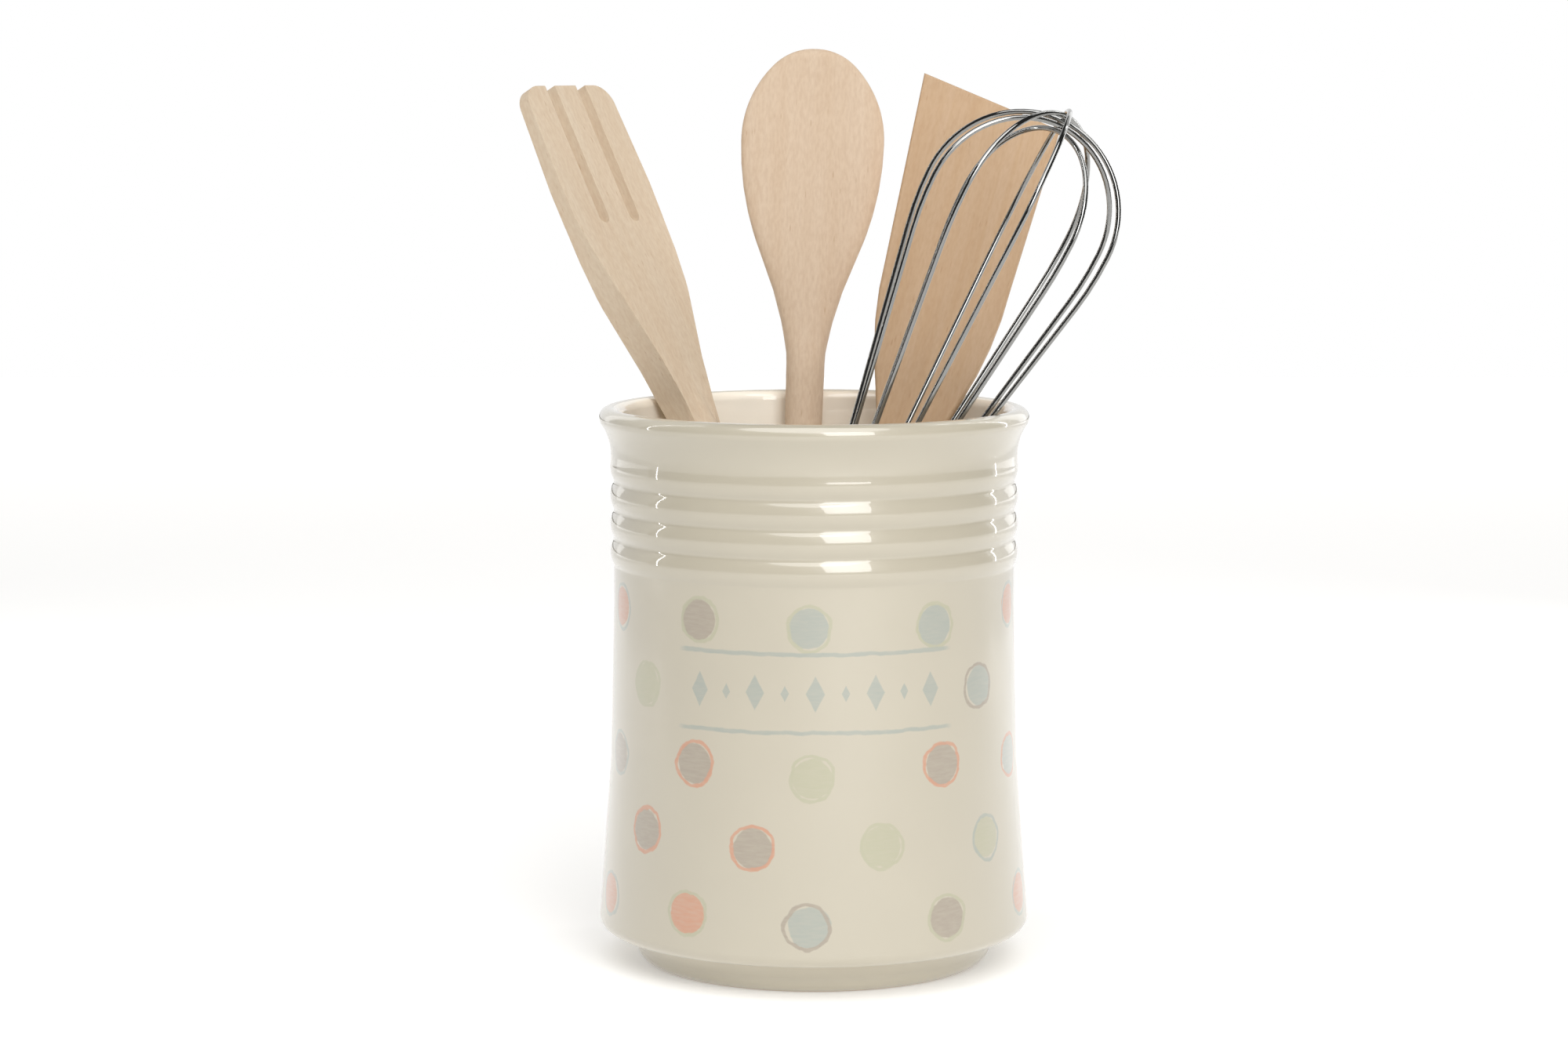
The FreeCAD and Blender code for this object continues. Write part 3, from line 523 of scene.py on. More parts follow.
def painted_band(tree, sizes, height, bearing, slip, cover):
    """Two brushed lines on the front, with a row of lozenges and beads between them, as a mask."""
    body_radius = sizes.waist + sizes.shoulder_flare / 2
    along = add(tree, "Math", [bearing, body_radius], operation="MULTIPLY")
    reach = add(tree, "Math", [along], operation="ABSOLUTE")
    in_band = add(tree, "MapRange", [reach, sizes.band_reach, sizes.band_reach - BAND_FADE])
    off_middle = add(tree, "Math", [height, sizes.band_middle], operation="SUBTRACT")
    off_middle = add(tree, "Math", [slip, BAND_SLIP_SHARE, off_middle], operation="MULTIPLY_ADD")
    from_middle = add(tree, "Math", [off_middle], operation="ABSOLUTE")
    off_line = add(tree, "Math", [from_middle, sizes.band_height / 2], operation="SUBTRACT")
    off_line = add(tree, "Math", [off_line], operation="ABSOLUTE")
    lined = add(tree, "MapRange", [off_line, *LINE_EDGE], interpolation_type="SMOOTHSTEP")
    lined = add(tree, "Math", [lined, in_band], operation="MULTIPLY")

    # Every other lozenge is a small bead.
    beads = add(tree, "Math", [along, LOZENGE_PITCH], operation="DIVIDE")
    bead = add(tree, "Math", [beads], operation="ROUND")
    small = add(tree, "Math", [bead, 2.0], operation="FLOORED_MODULO")
    scale = add(tree, "Math", [small, BEAD_SHRINK, 1.0], operation="MULTIPLY_ADD")
    bead_x = add(tree, "Math", [beads, bead], operation="SUBTRACT")
    bead_x = add(tree, "Math", [bead_x], operation="ABSOLUTE")
    bead_x = add(tree, "Math", [bead_x, LOZENGE_PITCH / LOZENGE_HALF], operation="MULTIPLY")
    bead_z = add(tree, "Math", [from_middle, LOZENGE_RISE], operation="DIVIDE")
    bead_size = add(tree, "Math", [bead_x, bead_z], operation="ADD")
    bead_size = add(tree, "Math", [bead_size, scale], operation="DIVIDE")
    beaded = add(tree, "MapRange", [bead_size, *LOZENGE_EDGE], interpolation_type="SMOOTHSTEP")
    few = add(tree, "Math", [reach, LOZENGE_PITCH * LOZENGES_ASIDE], operation="LESS_THAN")
    beaded = add(tree, "Math", [beaded, few], operation="MULTIPLY")
    banded = add(tree, "Math", [lined, beaded], operation="MAXIMUM")
    return add(tree, "Math", [banded, cover], operation="MULTIPLY")


def glazed_stoneware(sizes):
    """Wheel-thrown stoneware under a clear gloss glaze: a deep wet shine over cream clay, faint throwing
    lines, and soft underglaze brushwork whose edges wander and whose strokes let the cream through."""
    material, tree = new_material("glazed_stoneware")
    place = add(tree, "TexCoord").outputs["Object"]
    axes = add(tree, "SeparateXYZ", [place]).outputs
    towards = add(tree, "Math", [axes["Y"], -1.0], operation="MULTIPLY")
    bearing = add(tree, "Math", [axes["X"], towards], operation="ARCTAN2")
    # The inner wall lies everywhere closer to the axis than the waist, so it stays bare.
    level_place = add(tree, "CombineXYZ", [axes["X"], axes["Y"]])
    radius = add(tree, "VectorMath", [level_place], operation="LENGTH").outputs["Value"]
    outside = add(tree, "Math", [radius, sizes.waist - WAIST_MARGIN], operation="GREATER_THAN")
    # The foot lies closer in too, but under the level of the inner floor.
    inner_floor = sizes.foot_recess + sizes.floor - FLOOR_MARGIN
    raised = add(tree, "Math", [axes["Z"], inner_floor], operation="GREATER_THAN")
    # This mask carries the painted light: the inner wall and floor get the paler cream.
    inside = add(tree, "Math", [raised, outside], operation="SUBTRACT", use_clamp=True)

    # The clay's colour drifts a little. Brush strokes wander, and streak along the turning direction.
    drift = add(tree, "TexNoise", {"Vector": place, "Scale": 1 / CLAY_DRIFT, "Detail": 3.0})
    wander = add(tree, "TexNoise", {"Vector": place, "Scale": 1 / BRUSH_WANDER, "Detail": 2.0})
    slip = add(tree, "Math", [wander, 0.5], operation="SUBTRACT")
    slip = add(tree, "Math", [slip, BRUSH_SLIP], operation="MULTIPLY")
    streak_map = add(tree, "Mapping", {"Vector": place, "Scale": (1, 1, 5)})
    streak = add(tree, "TexNoise", {"Vector": streak_map, "Scale": 1 / BRUSH_STREAK, "Detail": 3.0})
    cover = add(tree, "MapRange", [streak, 0.3, 0.65, 0.75, 0.95])
    cover = add(tree, "Math", [cover, outside], operation="MULTIPLY")
    layers = [
        (drift, opaque(sizes.glaze, strength=0.94)),
        # The inner wall takes the paler cream, a painted light that brightens the inside.
        (inside, opaque(sizes.inner_glaze_painted_light)),
        *painted_dots(tree, sizes, axes["Z"], bearing, slip, cover),
        (painted_band(tree, sizes, axes["Z"], bearing, slip, cover), opaque(sizes.blue)),
    ]
    mixed = opaque(sizes.glaze)
    for mask, paint in layers:
        mixed = add(tree, "Mix", {FACTOR: mask, COLOUR_A: mixed, COLOUR_B: paint},
                    data_type="RGBA").outputs[COLOUR_MIXED]

    # The glaze lies in slow waves, over faint throwing lines.
    waves = add(tree, "TexNoise", {"Vector": place, "Scale": 1 / GLAZE_WAVES, "Detail": 1.0})
    throw_map = add(tree, "Mapping", {"Vector": place, "Scale": (0.15, 0.15, 1)})
    throwing = add(tree, "TexNoise", {"Vector": throw_map, "Scale": 1 / THROWING_LINES, "Detail": 1.0})
    surface = add(tree, "Math", [throwing, THROWING_SHARE, waves], operation="MULTIPLY_ADD")
    bump = add(tree, "Bump", {"Height": surface, "Strength": 0.10, "Distance": 0.35 * MM})
    shader = add(tree, "BsdfPrincipled", {
        "Base Color": mixed, "Roughness": 0.3, "IOR": 1.52, "Normal": bump,
        "Coat Weight": 1.0, "Coat IOR": 1.6, "Coat Roughness": 0.03, "Coat Normal": bump})
    add(tree, "OutputMaterial", [shader])
    return material


def bare_clay(sizes):
    """Unglazed fired stoneware: dry, warm and gritty."""
    material, tree = new_material("bare_stoneware_clay")
    place = add(tree, "TexCoord").outputs["Object"]
    grit = add(tree, "TexNoise", {"Vector": place, "Scale": 1 / CLAY_GRIT, "Detail": 4.0})
    dark = opaque(sizes.clay, strength=0.7)
    mixed = add(tree, "Mix", {FACTOR: grit, COLOUR_A: opaque(sizes.clay), COLOUR_B: dark},
                data_type="RGBA").outputs[COLOUR_MIXED]
    bump = add(tree, "Bump", {"Height": grit, "Strength": 0.5, "Distance": 0.2 * MM})
    shader = add(tree, "BsdfPrincipled", {"Base Color": mixed, "Roughness": 0.9, "Normal": bump})
    add(tree, "OutputMaterial", [shader])
    return material


def bare_beech(name, pale, colours, place, seed, depth):
    """Sanded, unoiled beech: pale and pinkish, dry, with soft long grain and the short dark flecks that beech
    shows on its flat faces. Each utensil is cut from a place of its own, with its own depth of grain."""
    material, tree = new_material(name)
    own = own_axes(tree, place)
    grain_map = add(tree, "Mapping", {
        "Vector": own, "Location": (seed * 0.11, seed * 0.07, seed * 0.13), "Scale": (1, 1, 0.05)})
    grain = add(tree, "TexNoise", {
        "Vector": grain_map, "Scale": 1 / GRAIN_WIDTH, "Detail": 5.0, "Roughness": 0.6, "Distortion": 0.4})
    grained = add(tree, "MapRange", [grain, 0.35, 0.72, depth + 0.05, depth + 0.27])
    # Fine fibres, three times as long as wide, mottle the whole face.
    fibre_map = add(tree, "Mapping", {
        "Vector": own, "Location": (seed * 0.03, seed * 0.02, 0), "Scale": (1, 1, 0.32)})
    fibres = add(tree, "TexNoise", {"Vector": fibre_map, "Scale": 1 / FIBRE_WIDTH, "Detail": 2.0})
    mottled = add(tree, "MapRange", [fibres, 0.35, 0.68, 0.0, 0.18])
    # Flecks are about 0.5 mm wide and 3 mm long, drawn a little coarser than real ones so that they show.
    fleck_map = add(tree, "Mapping", {
        "Vector": own, "Location": (seed * 0.05, 0, seed * 0.09), "Scale": (1, 1, 0.17)})
    flecks = add(tree, "TexVoronoi", {"Vector": fleck_map, "Scale": 1 / FLECK_SPACING}).outputs["Distance"]
    flecked = add(tree, "MapRange", [flecks, 0.20, 0.09, 0.0, 0.45])
    patches = add(tree, "TexNoise", {"Vector": own, "Scale": 1 / FLECK_PATCH, "Detail": 1.0})
    patched = add(tree, "MapRange", [patches, 0.45, 0.65])
    flecked = add(tree, "Math", [flecked, patched], operation="MULTIPLY")
    wood = opaque(pale)
    for mask, shade in ((grained, colours.beech_grain), (mottled, colours.beech_fleck),
                        (flecked, colours.beech_fleck)):
        wood = add(tree, "Mix", {FACTOR: mask, COLOUR_A: wood, COLOUR_B: opaque(shade)},
                   data_type="RGBA").outputs[COLOUR_MIXED]
    rough = add(tree, "MapRange", [grain, 0.3, 0.7, 0.58, 0.72])
    relief = add(tree, "Math", [flecked, FLECK_CUT, grain], operation="MULTIPLY_ADD")
    bump = add(tree, "Bump", {"Height": relief, "Strength": 0.25, "Distance": 0.15 * MM})
    shader = add(tree, "BsdfPrincipled", {
        "Base Color": wood, "Roughness": rough, "Specular IOR Level": 0.3, "Normal": bump})
    add(tree, "OutputMaterial", [shader])
    return material


def polished_steel(name, colours, place, roughness):
    """Drawn and polished stainless steel: bright, with fine draw lines that run along it."""
    material, tree = new_material(name)
    line_map = add(tree, "Mapping", {"Vector": own_axes(tree, place), "Scale": (1, 1, 0.04)})
    lines = add(tree, "TexNoise", {"Vector": line_map, "Scale": 1 / DRAW_LINES, "Detail": 2.0})
    dark = opaque(colours.steel, strength=0.85)
    shade = add(tree, "Mix", {FACTOR: lines, COLOUR_A: opaque(colours.steel), COLOUR_B: dark},
                data_type="RGBA").outputs[COLOUR_MIXED]
    rough = add(tree, "MapRange", [lines, 0.3, 0.7, roughness * 0.8, roughness * 1.3])
    shader = add(tree, "BsdfPrincipled", {"Base Color": shade, "Metallic": 1.0, "Roughness": rough})
    add(tree, "OutputMaterial", [shader])
    return material


def cast_resin(colours):
    """Poured epoxy: dark and nearly smooth, with a faint ripple."""
    material, tree = new_material("cast_epoxy")
    place = add(tree, "TexCoord").outputs["Object"]
    ripple = add(tree, "TexNoise", {"Vector": place, "Scale": 1 / RESIN_RIPPLE, "Detail": 2.0})
    pale = opaque(colours.resin, strength=1.5)
    shade = add(tree, "Mix", {FACTOR: ripple, COLOUR_A: opaque(colours.resin), COLOUR_B: pale},
                data_type="RGBA").outputs[COLOUR_MIXED]
    bump = add(tree, "Bump", {"Height": ripple, "Strength": 0.3, "Distance": 0.1 * MM})
    shader = add(tree, "BsdfPrincipled", {"Base Color": shade, "Roughness": 0.45, "Normal": bump})
    add(tree, "OutputMaterial", [shader])
    return material


def studio_paper(colours):
    """Matt background paper on a light table: white, lit a little from below, with a faint tooth."""
    material, tree = new_material("studio_paper")
    place = add(tree, "TexCoord").outputs["Object"]
    tooth = add(tree, "TexNoise", {"Vector": place, "Scale": 1 / PAPER_TOOTH})
    dark = opaque(colours.paper, strength=0.985)
    shade = add(tree, "Mix", {FACTOR: tooth, COLOUR_A: opaque(colours.paper), COLOUR_B: dark},
                data_type="RGBA").outputs[COLOUR_MIXED]
    shader = add(tree, "BsdfPrincipled", {
        "Base Color": shade, "Roughness": 0.95, "Specular IOR Level": 0.1,
        "Emission Color": WHITE, "Emission Strength": 0.30})
    add(tree, "OutputMaterial", [shader])
    return material


def crock_outline(sizes):
    """The crock's half section, from the middle of its floor out over the rim and down to its foot."""
    floor_level = sizes.foot_recess + sizes.floor
    shoulder_radius = sizes.waist + sizes.shoulder_flare
    neck_radius = sizes.waist + sizes.rib_height - sizes.neck_inset
    rim_radius = neck_radius + sizes.rim_flare
    inner_foot_radius = shoulder_radius - sizes.wall
    floor_radius = inner_foot_radius - sizes.inner_corner
    bead = sizes.rim / 2
    bead_radius = rim_radius - bead
    bead_level = sizes.height - bead
    top_peak = sizes.height - sizes.rib_drop
    half_pitch = sizes.rib_pitch / 2
    waist_level = top_peak - (sizes.rib_count - 1) * sizes.rib_pitch - half_pitch - sizes.waist_run
    inner_waist = sizes.waist - sizes.wall
    inner_foot_level = floor_level + sizes.inner_corner

    def bow(rise, run):
        """Radius of an arc that leaves the vertical and runs out by run over rise."""
        return (rise * rise + run * run) / (2 * run)

    # The inner wall is a cone that touches the round of the rim.
    across = bead_radius - inner_waist
    up = bead_level - waist_level
    square = across * across + up * up
    touch = math.sqrt(square - bead * bead)
    lip_radius = inner_waist + touch * (across * touch - up * bead) / square
    lip_level = waist_level + touch * (across * bead + up * touch) / square

    # A hollow sweep joins the upright neck to the round of the rim.
    neck_level = sizes.height - sizes.neck_drop
    drop = bead_level - neck_level
    step = neck_radius - bead_radius
    sweep = (drop * drop + step * step - bead * bead) / (2 * (bead - step))
    under_rim_radius = bead_radius + bead * (sweep + step) / (sweep + bead)
    under_rim_level = bead_level - bead * drop / (sweep + bead)

    # Each rib is a round that runs into hollow valleys at both sides.
    slope = sizes.rib_height / half_pitch
    slope_sine = 2 * slope / (1 + slope * slope)
    slope_cosine = (1 - slope * slope) / (1 + slope * slope)
    rib_round = half_pitch / slope_sine - sizes.rib_valley
    turn_radius = sizes.waist + sizes.rib_valley * (1 - slope_cosine)
    turn_rise = sizes.rib_valley * slope_sine
    crest = top_peak + math.sqrt(2 * rib_round * sizes.neck_inset - sizes.neck_inset ** 2)
    inner_bow = bow(waist_level - inner_foot_level, inner_foot_radius - inner_waist)
    corners = [
        (0, floor_level, None),
        (floor_radius, floor_level, sizes.inner_corner),
        (inner_foot_radius, inner_foot_level, -inner_bow),
        (inner_waist, waist_level, None),
        (lip_radius, lip_level, -bead),
        (bead_radius, sizes.height, -bead),
        (under_rim_radius, under_rim_level, sweep),
        (neck_radius, neck_level, None),
        (neck_radius, crest, -rib_round),
    ]
    for rib in range(sizes.rib_count):
        valley_level = top_peak - rib * sizes.rib_pitch - half_pitch
        corners.append((turn_radius, valley_level + turn_rise, sizes.rib_valley))
        if rib + 1 < sizes.rib_count:
            corners.append((turn_radius, valley_level - turn_rise, -rib_round))
        else:
            corners.append((sizes.waist, valley_level, None))

    # The body bows out from the waist to a rounded shoulder above a stepped foot.
    body_bow = bow(waist_level - sizes.shoulder_height, sizes.shoulder_flare)
    shoulder_share = sizes.shoulder_round / body_bow
    round_radius = shoulder_radius + shoulder_share * (sizes.shoulder_flare - body_bow)
    round_level = sizes.shoulder_height + shoulder_share * (sizes.shoulder_height - waist_level)
    crease_radius = shoulder_radius - sizes.foot_inset
    foot_radius = crease_radius - sizes.foot_taper
    ring_radius = foot_radius - sizes.foot_width
    under = round_level - sizes.shoulder_round
    corners += [
        (sizes.waist, waist_level, body_bow),
        (shoulder_radius, sizes.shoulder_height, -sizes.shoulder_round),
        (round_radius, under, None),
        (crease_radius, under, None),
        (foot_radius, sizes.foot_band, None),
        (foot_radius, sizes.foot_round, -sizes.foot_round),
        (foot_radius - sizes.foot_round, 0, None),
        (ring_radius, 0, None),
        (ring_radius - sizes.foot_recess, sizes.foot_recess, None),
        (0, sizes.foot_recess, None),
    ]
    return corners


def ogee(foot_x, foot_z, top_x, top_z, hollow_share):
    """Two arcs that leave the vertical at the foot, outwards, and come back to it at the top."""
    run = top_x - foot_x
    rise = top_z - foot_z
    slope = run / rise
    radii = rise * (1 + slope * slope) / (2 * slope)
    return [
        (foot_x, foot_z, -radii * hollow_share),
        (foot_x + run * hollow_share, foot_z + rise * hollow_share, radii * (1 - hollow_share)),
        (top_x, top_z, None),
    ]


def side_thickness(sizes, shares, top, level):
    """Half the thickness of a head at a level, from its side view."""
    height = (level - sizes.neck) / (top - sizes.neck)
    height = min(max(height, 0), 1)
    for (low, low_share), (high, high_share) in zip(shares, shares[1:]):
        if height <= high:
            share = low_share + (high_share - low_share) * (height - low) / (high - low)
            break
    return (sizes.thin + share * (sizes.thick - sizes.thin)) / 2


def round_handle(shape, sizes):
    """The round handle of a carved utensil: a domed end, and a long taper that runs out inside the head."""
    fade_top = sizes.neck + sizes.fade
    lathe(shape, [
        (0, -sizes.handle, sizes.handle),
        (sizes.handle, 0, None),
        (sizes.handle, sizes.neck + sizes.fade * HOLD_SHARE, None),
        (sizes.thin * FADE_END_SHARE, fade_top, None),
        (0, fade_top, None),
    ], False, TURNED_STEPS)


def flat_head(shape, outline, sizes, shares, top):
    """A flat head: its outline is filled and thickened, its sides drawn in as its side view says, and its
    edges rounded."""
    _, edges = draw(shape, outline, True)
    face = bmesh.ops.contextual_create(shape, geom=edges)["faces"][0]
    grown = bmesh.ops.extrude_face_region(shape, geom=[face])["geom"]
    front = [item for item in grown if isinstance(item, bmesh.types.BMVert)]
    # The two sides stand well apart until the side view draws them in.
    bmesh.ops.translate(shape, verts=front, vec=(0, -2, 0))
    bmesh.ops.translate(shape, verts=shape.verts, vec=(0, 1, 0))
    for height_share, _ in shares[1:-1]:
        level = sizes.neck + height_share * (top - sizes.neck)
        everything = list(shape.verts) + list(shape.edges) + list(shape.faces)
        bmesh.ops.bisect_plane(shape, geom=everything, plane_co=(0, 0, level), plane_no=(0, 0, 1),
                               dist=MERGE_GAP)
    for vert in shape.verts:
        vert.co.y = math.copysign(side_thickness(sizes, shares, top, vert.co.z), vert.co.y)
    bmesh.ops.recalc_face_normals(shape, faces=shape.faces)
    rims = []
    for edge in shape.edges:
        if len(edge.link_faces) != 2:
            continue
        # An edge between a broad face and a narrow one is rounded.
        narrow = [abs(face.normal.y) < 0.5 for face in edge.link_faces]
        if narrow.count(True) == 1:
            rims.append(edge)
    bmesh.ops.bevel(shape, geom=rims, offset=sizes.edge, offset_type="OFFSET", segments=EDGE_SEGMENTS,
                    profile=0.5, affect="EDGES", clamp_overlap=True, material=-1)


class MESH_OT_crock_body(bpy.types.Operator):
    """Spins the crock from its half section"""
    bl_idname = "mesh.crock_body"
    bl_label = "Crock body"

    def execute(self, context):
        sizes = context.scene.crock
        shape = bmesh.new()
        lathe(shape, crock_outline(sizes), False, LATHE_STEPS)
        foot_radius = sizes.waist + sizes.shoulder_flare - sizes.foot_inset - sizes.foot_taper
        # The flat of the foot ring, and the start of its round, are wiped bare of glaze.
        bare_level = sizes.foot_round * 0.1
        for face in shape.faces:
            middle = face.calc_center_median()
            on_ring = middle.z < bare_level and middle.xy.length > foot_radius - sizes.foot_width
            face.material_index = 1 if on_ring else 0
        finishes = [glazed_stoneware(sizes), bare_clay(sizes)]
        finish_piece(shape, "stoneware_crock", Matrix.Identity(4), finishes, "crock", ["crock_body"])
        return {"FINISHED"}


class MESH_OT_crock_spoon(bpy.types.Operator):
    """Draws the spoon out of a ring that swells from a round handle to a flat oval head"""
    bl_idname = "mesh.crock_spoon"
    bl_label = "Wooden spoon"

    def execute(self, context):
        sizes = context.scene.crock_spoon
        place = placement(sizes.foot, LEANS["spoon"], sizes.turn)
        half = sizes.width / 2
        widest = sizes.length - sizes.crown
        small = half * SPOON_TOP_SHARE
        rest = sizes.crown - small
        large = (half * half + rest * rest - small * small) / (2 * (half - small))
        touch_x = small * (large - half) / (large - small)
        touch_z = widest + rest + small * rest / (large - small)
        outline = ogee(sizes.handle * ROOT_SHARE, sizes.neck, half, widest, SPOON_HOLLOW_SHARE)
        outline[-1] = (half, widest, large)
        outline += [(touch_x, touch_z, small), (0, sizes.length, None)]
        edge = trace(outline, closed=False)
        hold = sizes.neck + sizes.fade * HOLD_SHARE

        def half_width(level):
            for low, high in zip(edge, edge[1:]):
                if low.y <= level <= high.y:
                    return low.x + (high.x - low.x) * (level - low.y) / (high.y - low.y)
            return edge[0].x

        def handle_radius(level):
            if level <= 0:
                return math.sqrt(max(sizes.handle ** 2 - level * level, 0))
            fading = min(max((level - hold) / (sizes.neck + sizes.fade - hold), 0), 1)
            return sizes.handle * (1 - fading)

        def joined(first, second):
            """The larger of two sizes, with a soft change from one to the other."""
            return (first + second + math.sqrt((first - second) ** 2 + SOFT_CHANGE * SOFT_CHANGE)) / 2

        shape = bmesh.new()
        ring = bmesh.ops.create_circle(shape, segments=SPOON_SIDES, radius=1)["verts"]
        rim = list(shape.edges)
        rounds = [Vector((vert.co.x, vert.co.y)) for vert in ring]
        tip_round = sizes.thin / 2
        for station in range(SPOON_STATIONS + 1):
            # Stations crowd together at the domed end and at the tip.
            share = 0.5 - 0.5 * math.cos(math.pi * station / SPOON_STATIONS)
            level = -sizes.handle + share * (sizes.length + sizes.handle)
            if station > 0:
                ring, sides = grow(shape, rim)
                rim = [side for side in sides if all(vert in ring for vert in side.verts)]
            handle = handle_radius(level)
            if level < sizes.neck:
                wide, deep, squareness = handle, handle, CIRCLE_POWER
            else:
                headed = min((level - sizes.neck) / sizes.fade, 1)
                wide = joined(handle, half_width(level))
                deep = joined(handle, side_thickness(sizes, SPOON_SIDE_SHARES, sizes.length, level))
                kept = 1 - min(headed / HEAD_TAKEOVER, 1)
                wide = wide + (handle - wide) * kept
                deep = deep + (handle - deep) * kept
                squareness = CIRCLE_POWER + (HEAD_POWER - CIRCLE_POWER) * headed
                over = max(level - (sizes.length - tip_round), 0) / tip_round
                deep = deep * math.sqrt(max(1 - over * over, 0))
            for vert, start in zip(ring, rounds):
                x = math.copysign(abs(start.x) ** (2 / squareness), start.x) * wide
                y = math.copysign(abs(start.y) ** (2 / squareness), start.y) * deep
                across = x / (sizes.bowl_width / 2)
                along = (level - widest) / (sizes.bowl_length / 2)
                dish = max(1 - across * across - along * along, 0)
                if y > 0:
                    y -= sizes.bowl_depth * math.sqrt(dish) * min(y / (deep or 1), 1)
                vert.co = (x, y, level)
        colours = context.scene.crock_finish
        wood = bare_beech("bare_beech_spoon", colours.beech, colours, place, seed=1, depth=0.10)
        finish_piece(shape, "spoon_carved", place, [wood], "spoon", ["wooden_spoon"],
                     crease=SOFT_CREASE)
        return {"FINISHED"}


class MESH_OT_crock_fork(bpy.types.Operator):
    """Cuts the fork from a flat head with two slots and a round handle"""
    bl_idname = "mesh.crock_fork"
    bl_label = "Wooden fork"

    def execute(self, context):
        sizes = context.scene.crock_fork
        place = placement(sizes.foot, LEANS["fork"], sizes.turn)
        tip = sizes.tip_width / 2
        half_slot = sizes.slot_width / 2
        slot_end = sizes.length - sizes.slot_length
        widest = sizes.neck + sizes.spread
        right = ogee(sizes.handle * ROOT_SHARE, sizes.neck, sizes.width / 2, widest, FORK_HOLLOW_SHARE)
        right += [(tip, sizes.length - sizes.corner, sizes.corner), (tip - sizes.corner, sizes.length, None)]
        middle = sizes.slot_spacing / 2
        right_slot = [
            (middle + half_slot, sizes.length, None),
            (middle + half_slot, slot_end + half_slot, -half_slot),
            (middle, slot_end, -half_slot),
            (middle - half_slot, slot_end + half_slot, None),
            (middle - half_slot, sizes.length, None),
        ]
        half_outline = trace(right + right_slot, closed=False)
        outline = half_outline + [Vector((-point.x, point.y)) for point in reversed(half_outline)]
        shape = bmesh.new()
        flat_head(shape, outline, sizes, FORK_SIDE_SHARES, sizes.length)
        round_handle(shape, sizes)
        colours = context.scene.crock_finish
        wood = bare_beech("bare_beech_fork", colours.fork_beech, colours, place, seed=2, depth=0.05)
        finish_piece(shape, "fork_carved", place, [wood], "fork", ["wooden_fork"], carved=True)
        return {"FINISHED"}


class MESH_OT_crock_spatula(bpy.types.Operator):
    """Cuts the spatula from a flat blade with a slanted edge and a round handle"""
    bl_idname = "mesh.crock_spatula"
    bl_label = "Wooden spatula"

    def execute(self, context):
        sizes = context.scene.crock_spatula
        place = placement(sizes.foot, LEANS["spatula"], sizes.turn)
        tip = sizes.tip_width / 2
        rise = tip * math.tan(sizes.slant)
        widest = sizes.neck + sizes.spread
        right = ogee(sizes.handle * ROOT_SHARE, sizes.neck, sizes.width / 2, widest, SPATULA_HOLLOW_SHARE)
        side = trace(right, closed=False)
        outline = side + [Vector((tip, sizes.length - rise)), Vector((-tip, sizes.length + rise))]
        outline += [Vector((-point.x, point.y)) for point in reversed(side)]
        shape = bmesh.new()
        flat_head(shape, outline, sizes, SPATULA_SIDE_SHARES, sizes.length + rise)
        round_handle(shape, sizes)
        colours = context.scene.crock_finish
        wood = bare_beech("bare_beech_spatula", colours.beech, colours, place, seed=3, depth=0.80)
        finish_piece(shape, "spatula_carved", place, [wood], "spatula", ["wooden_spatula"],
                     carved=True)
        return {"FINISHED"}


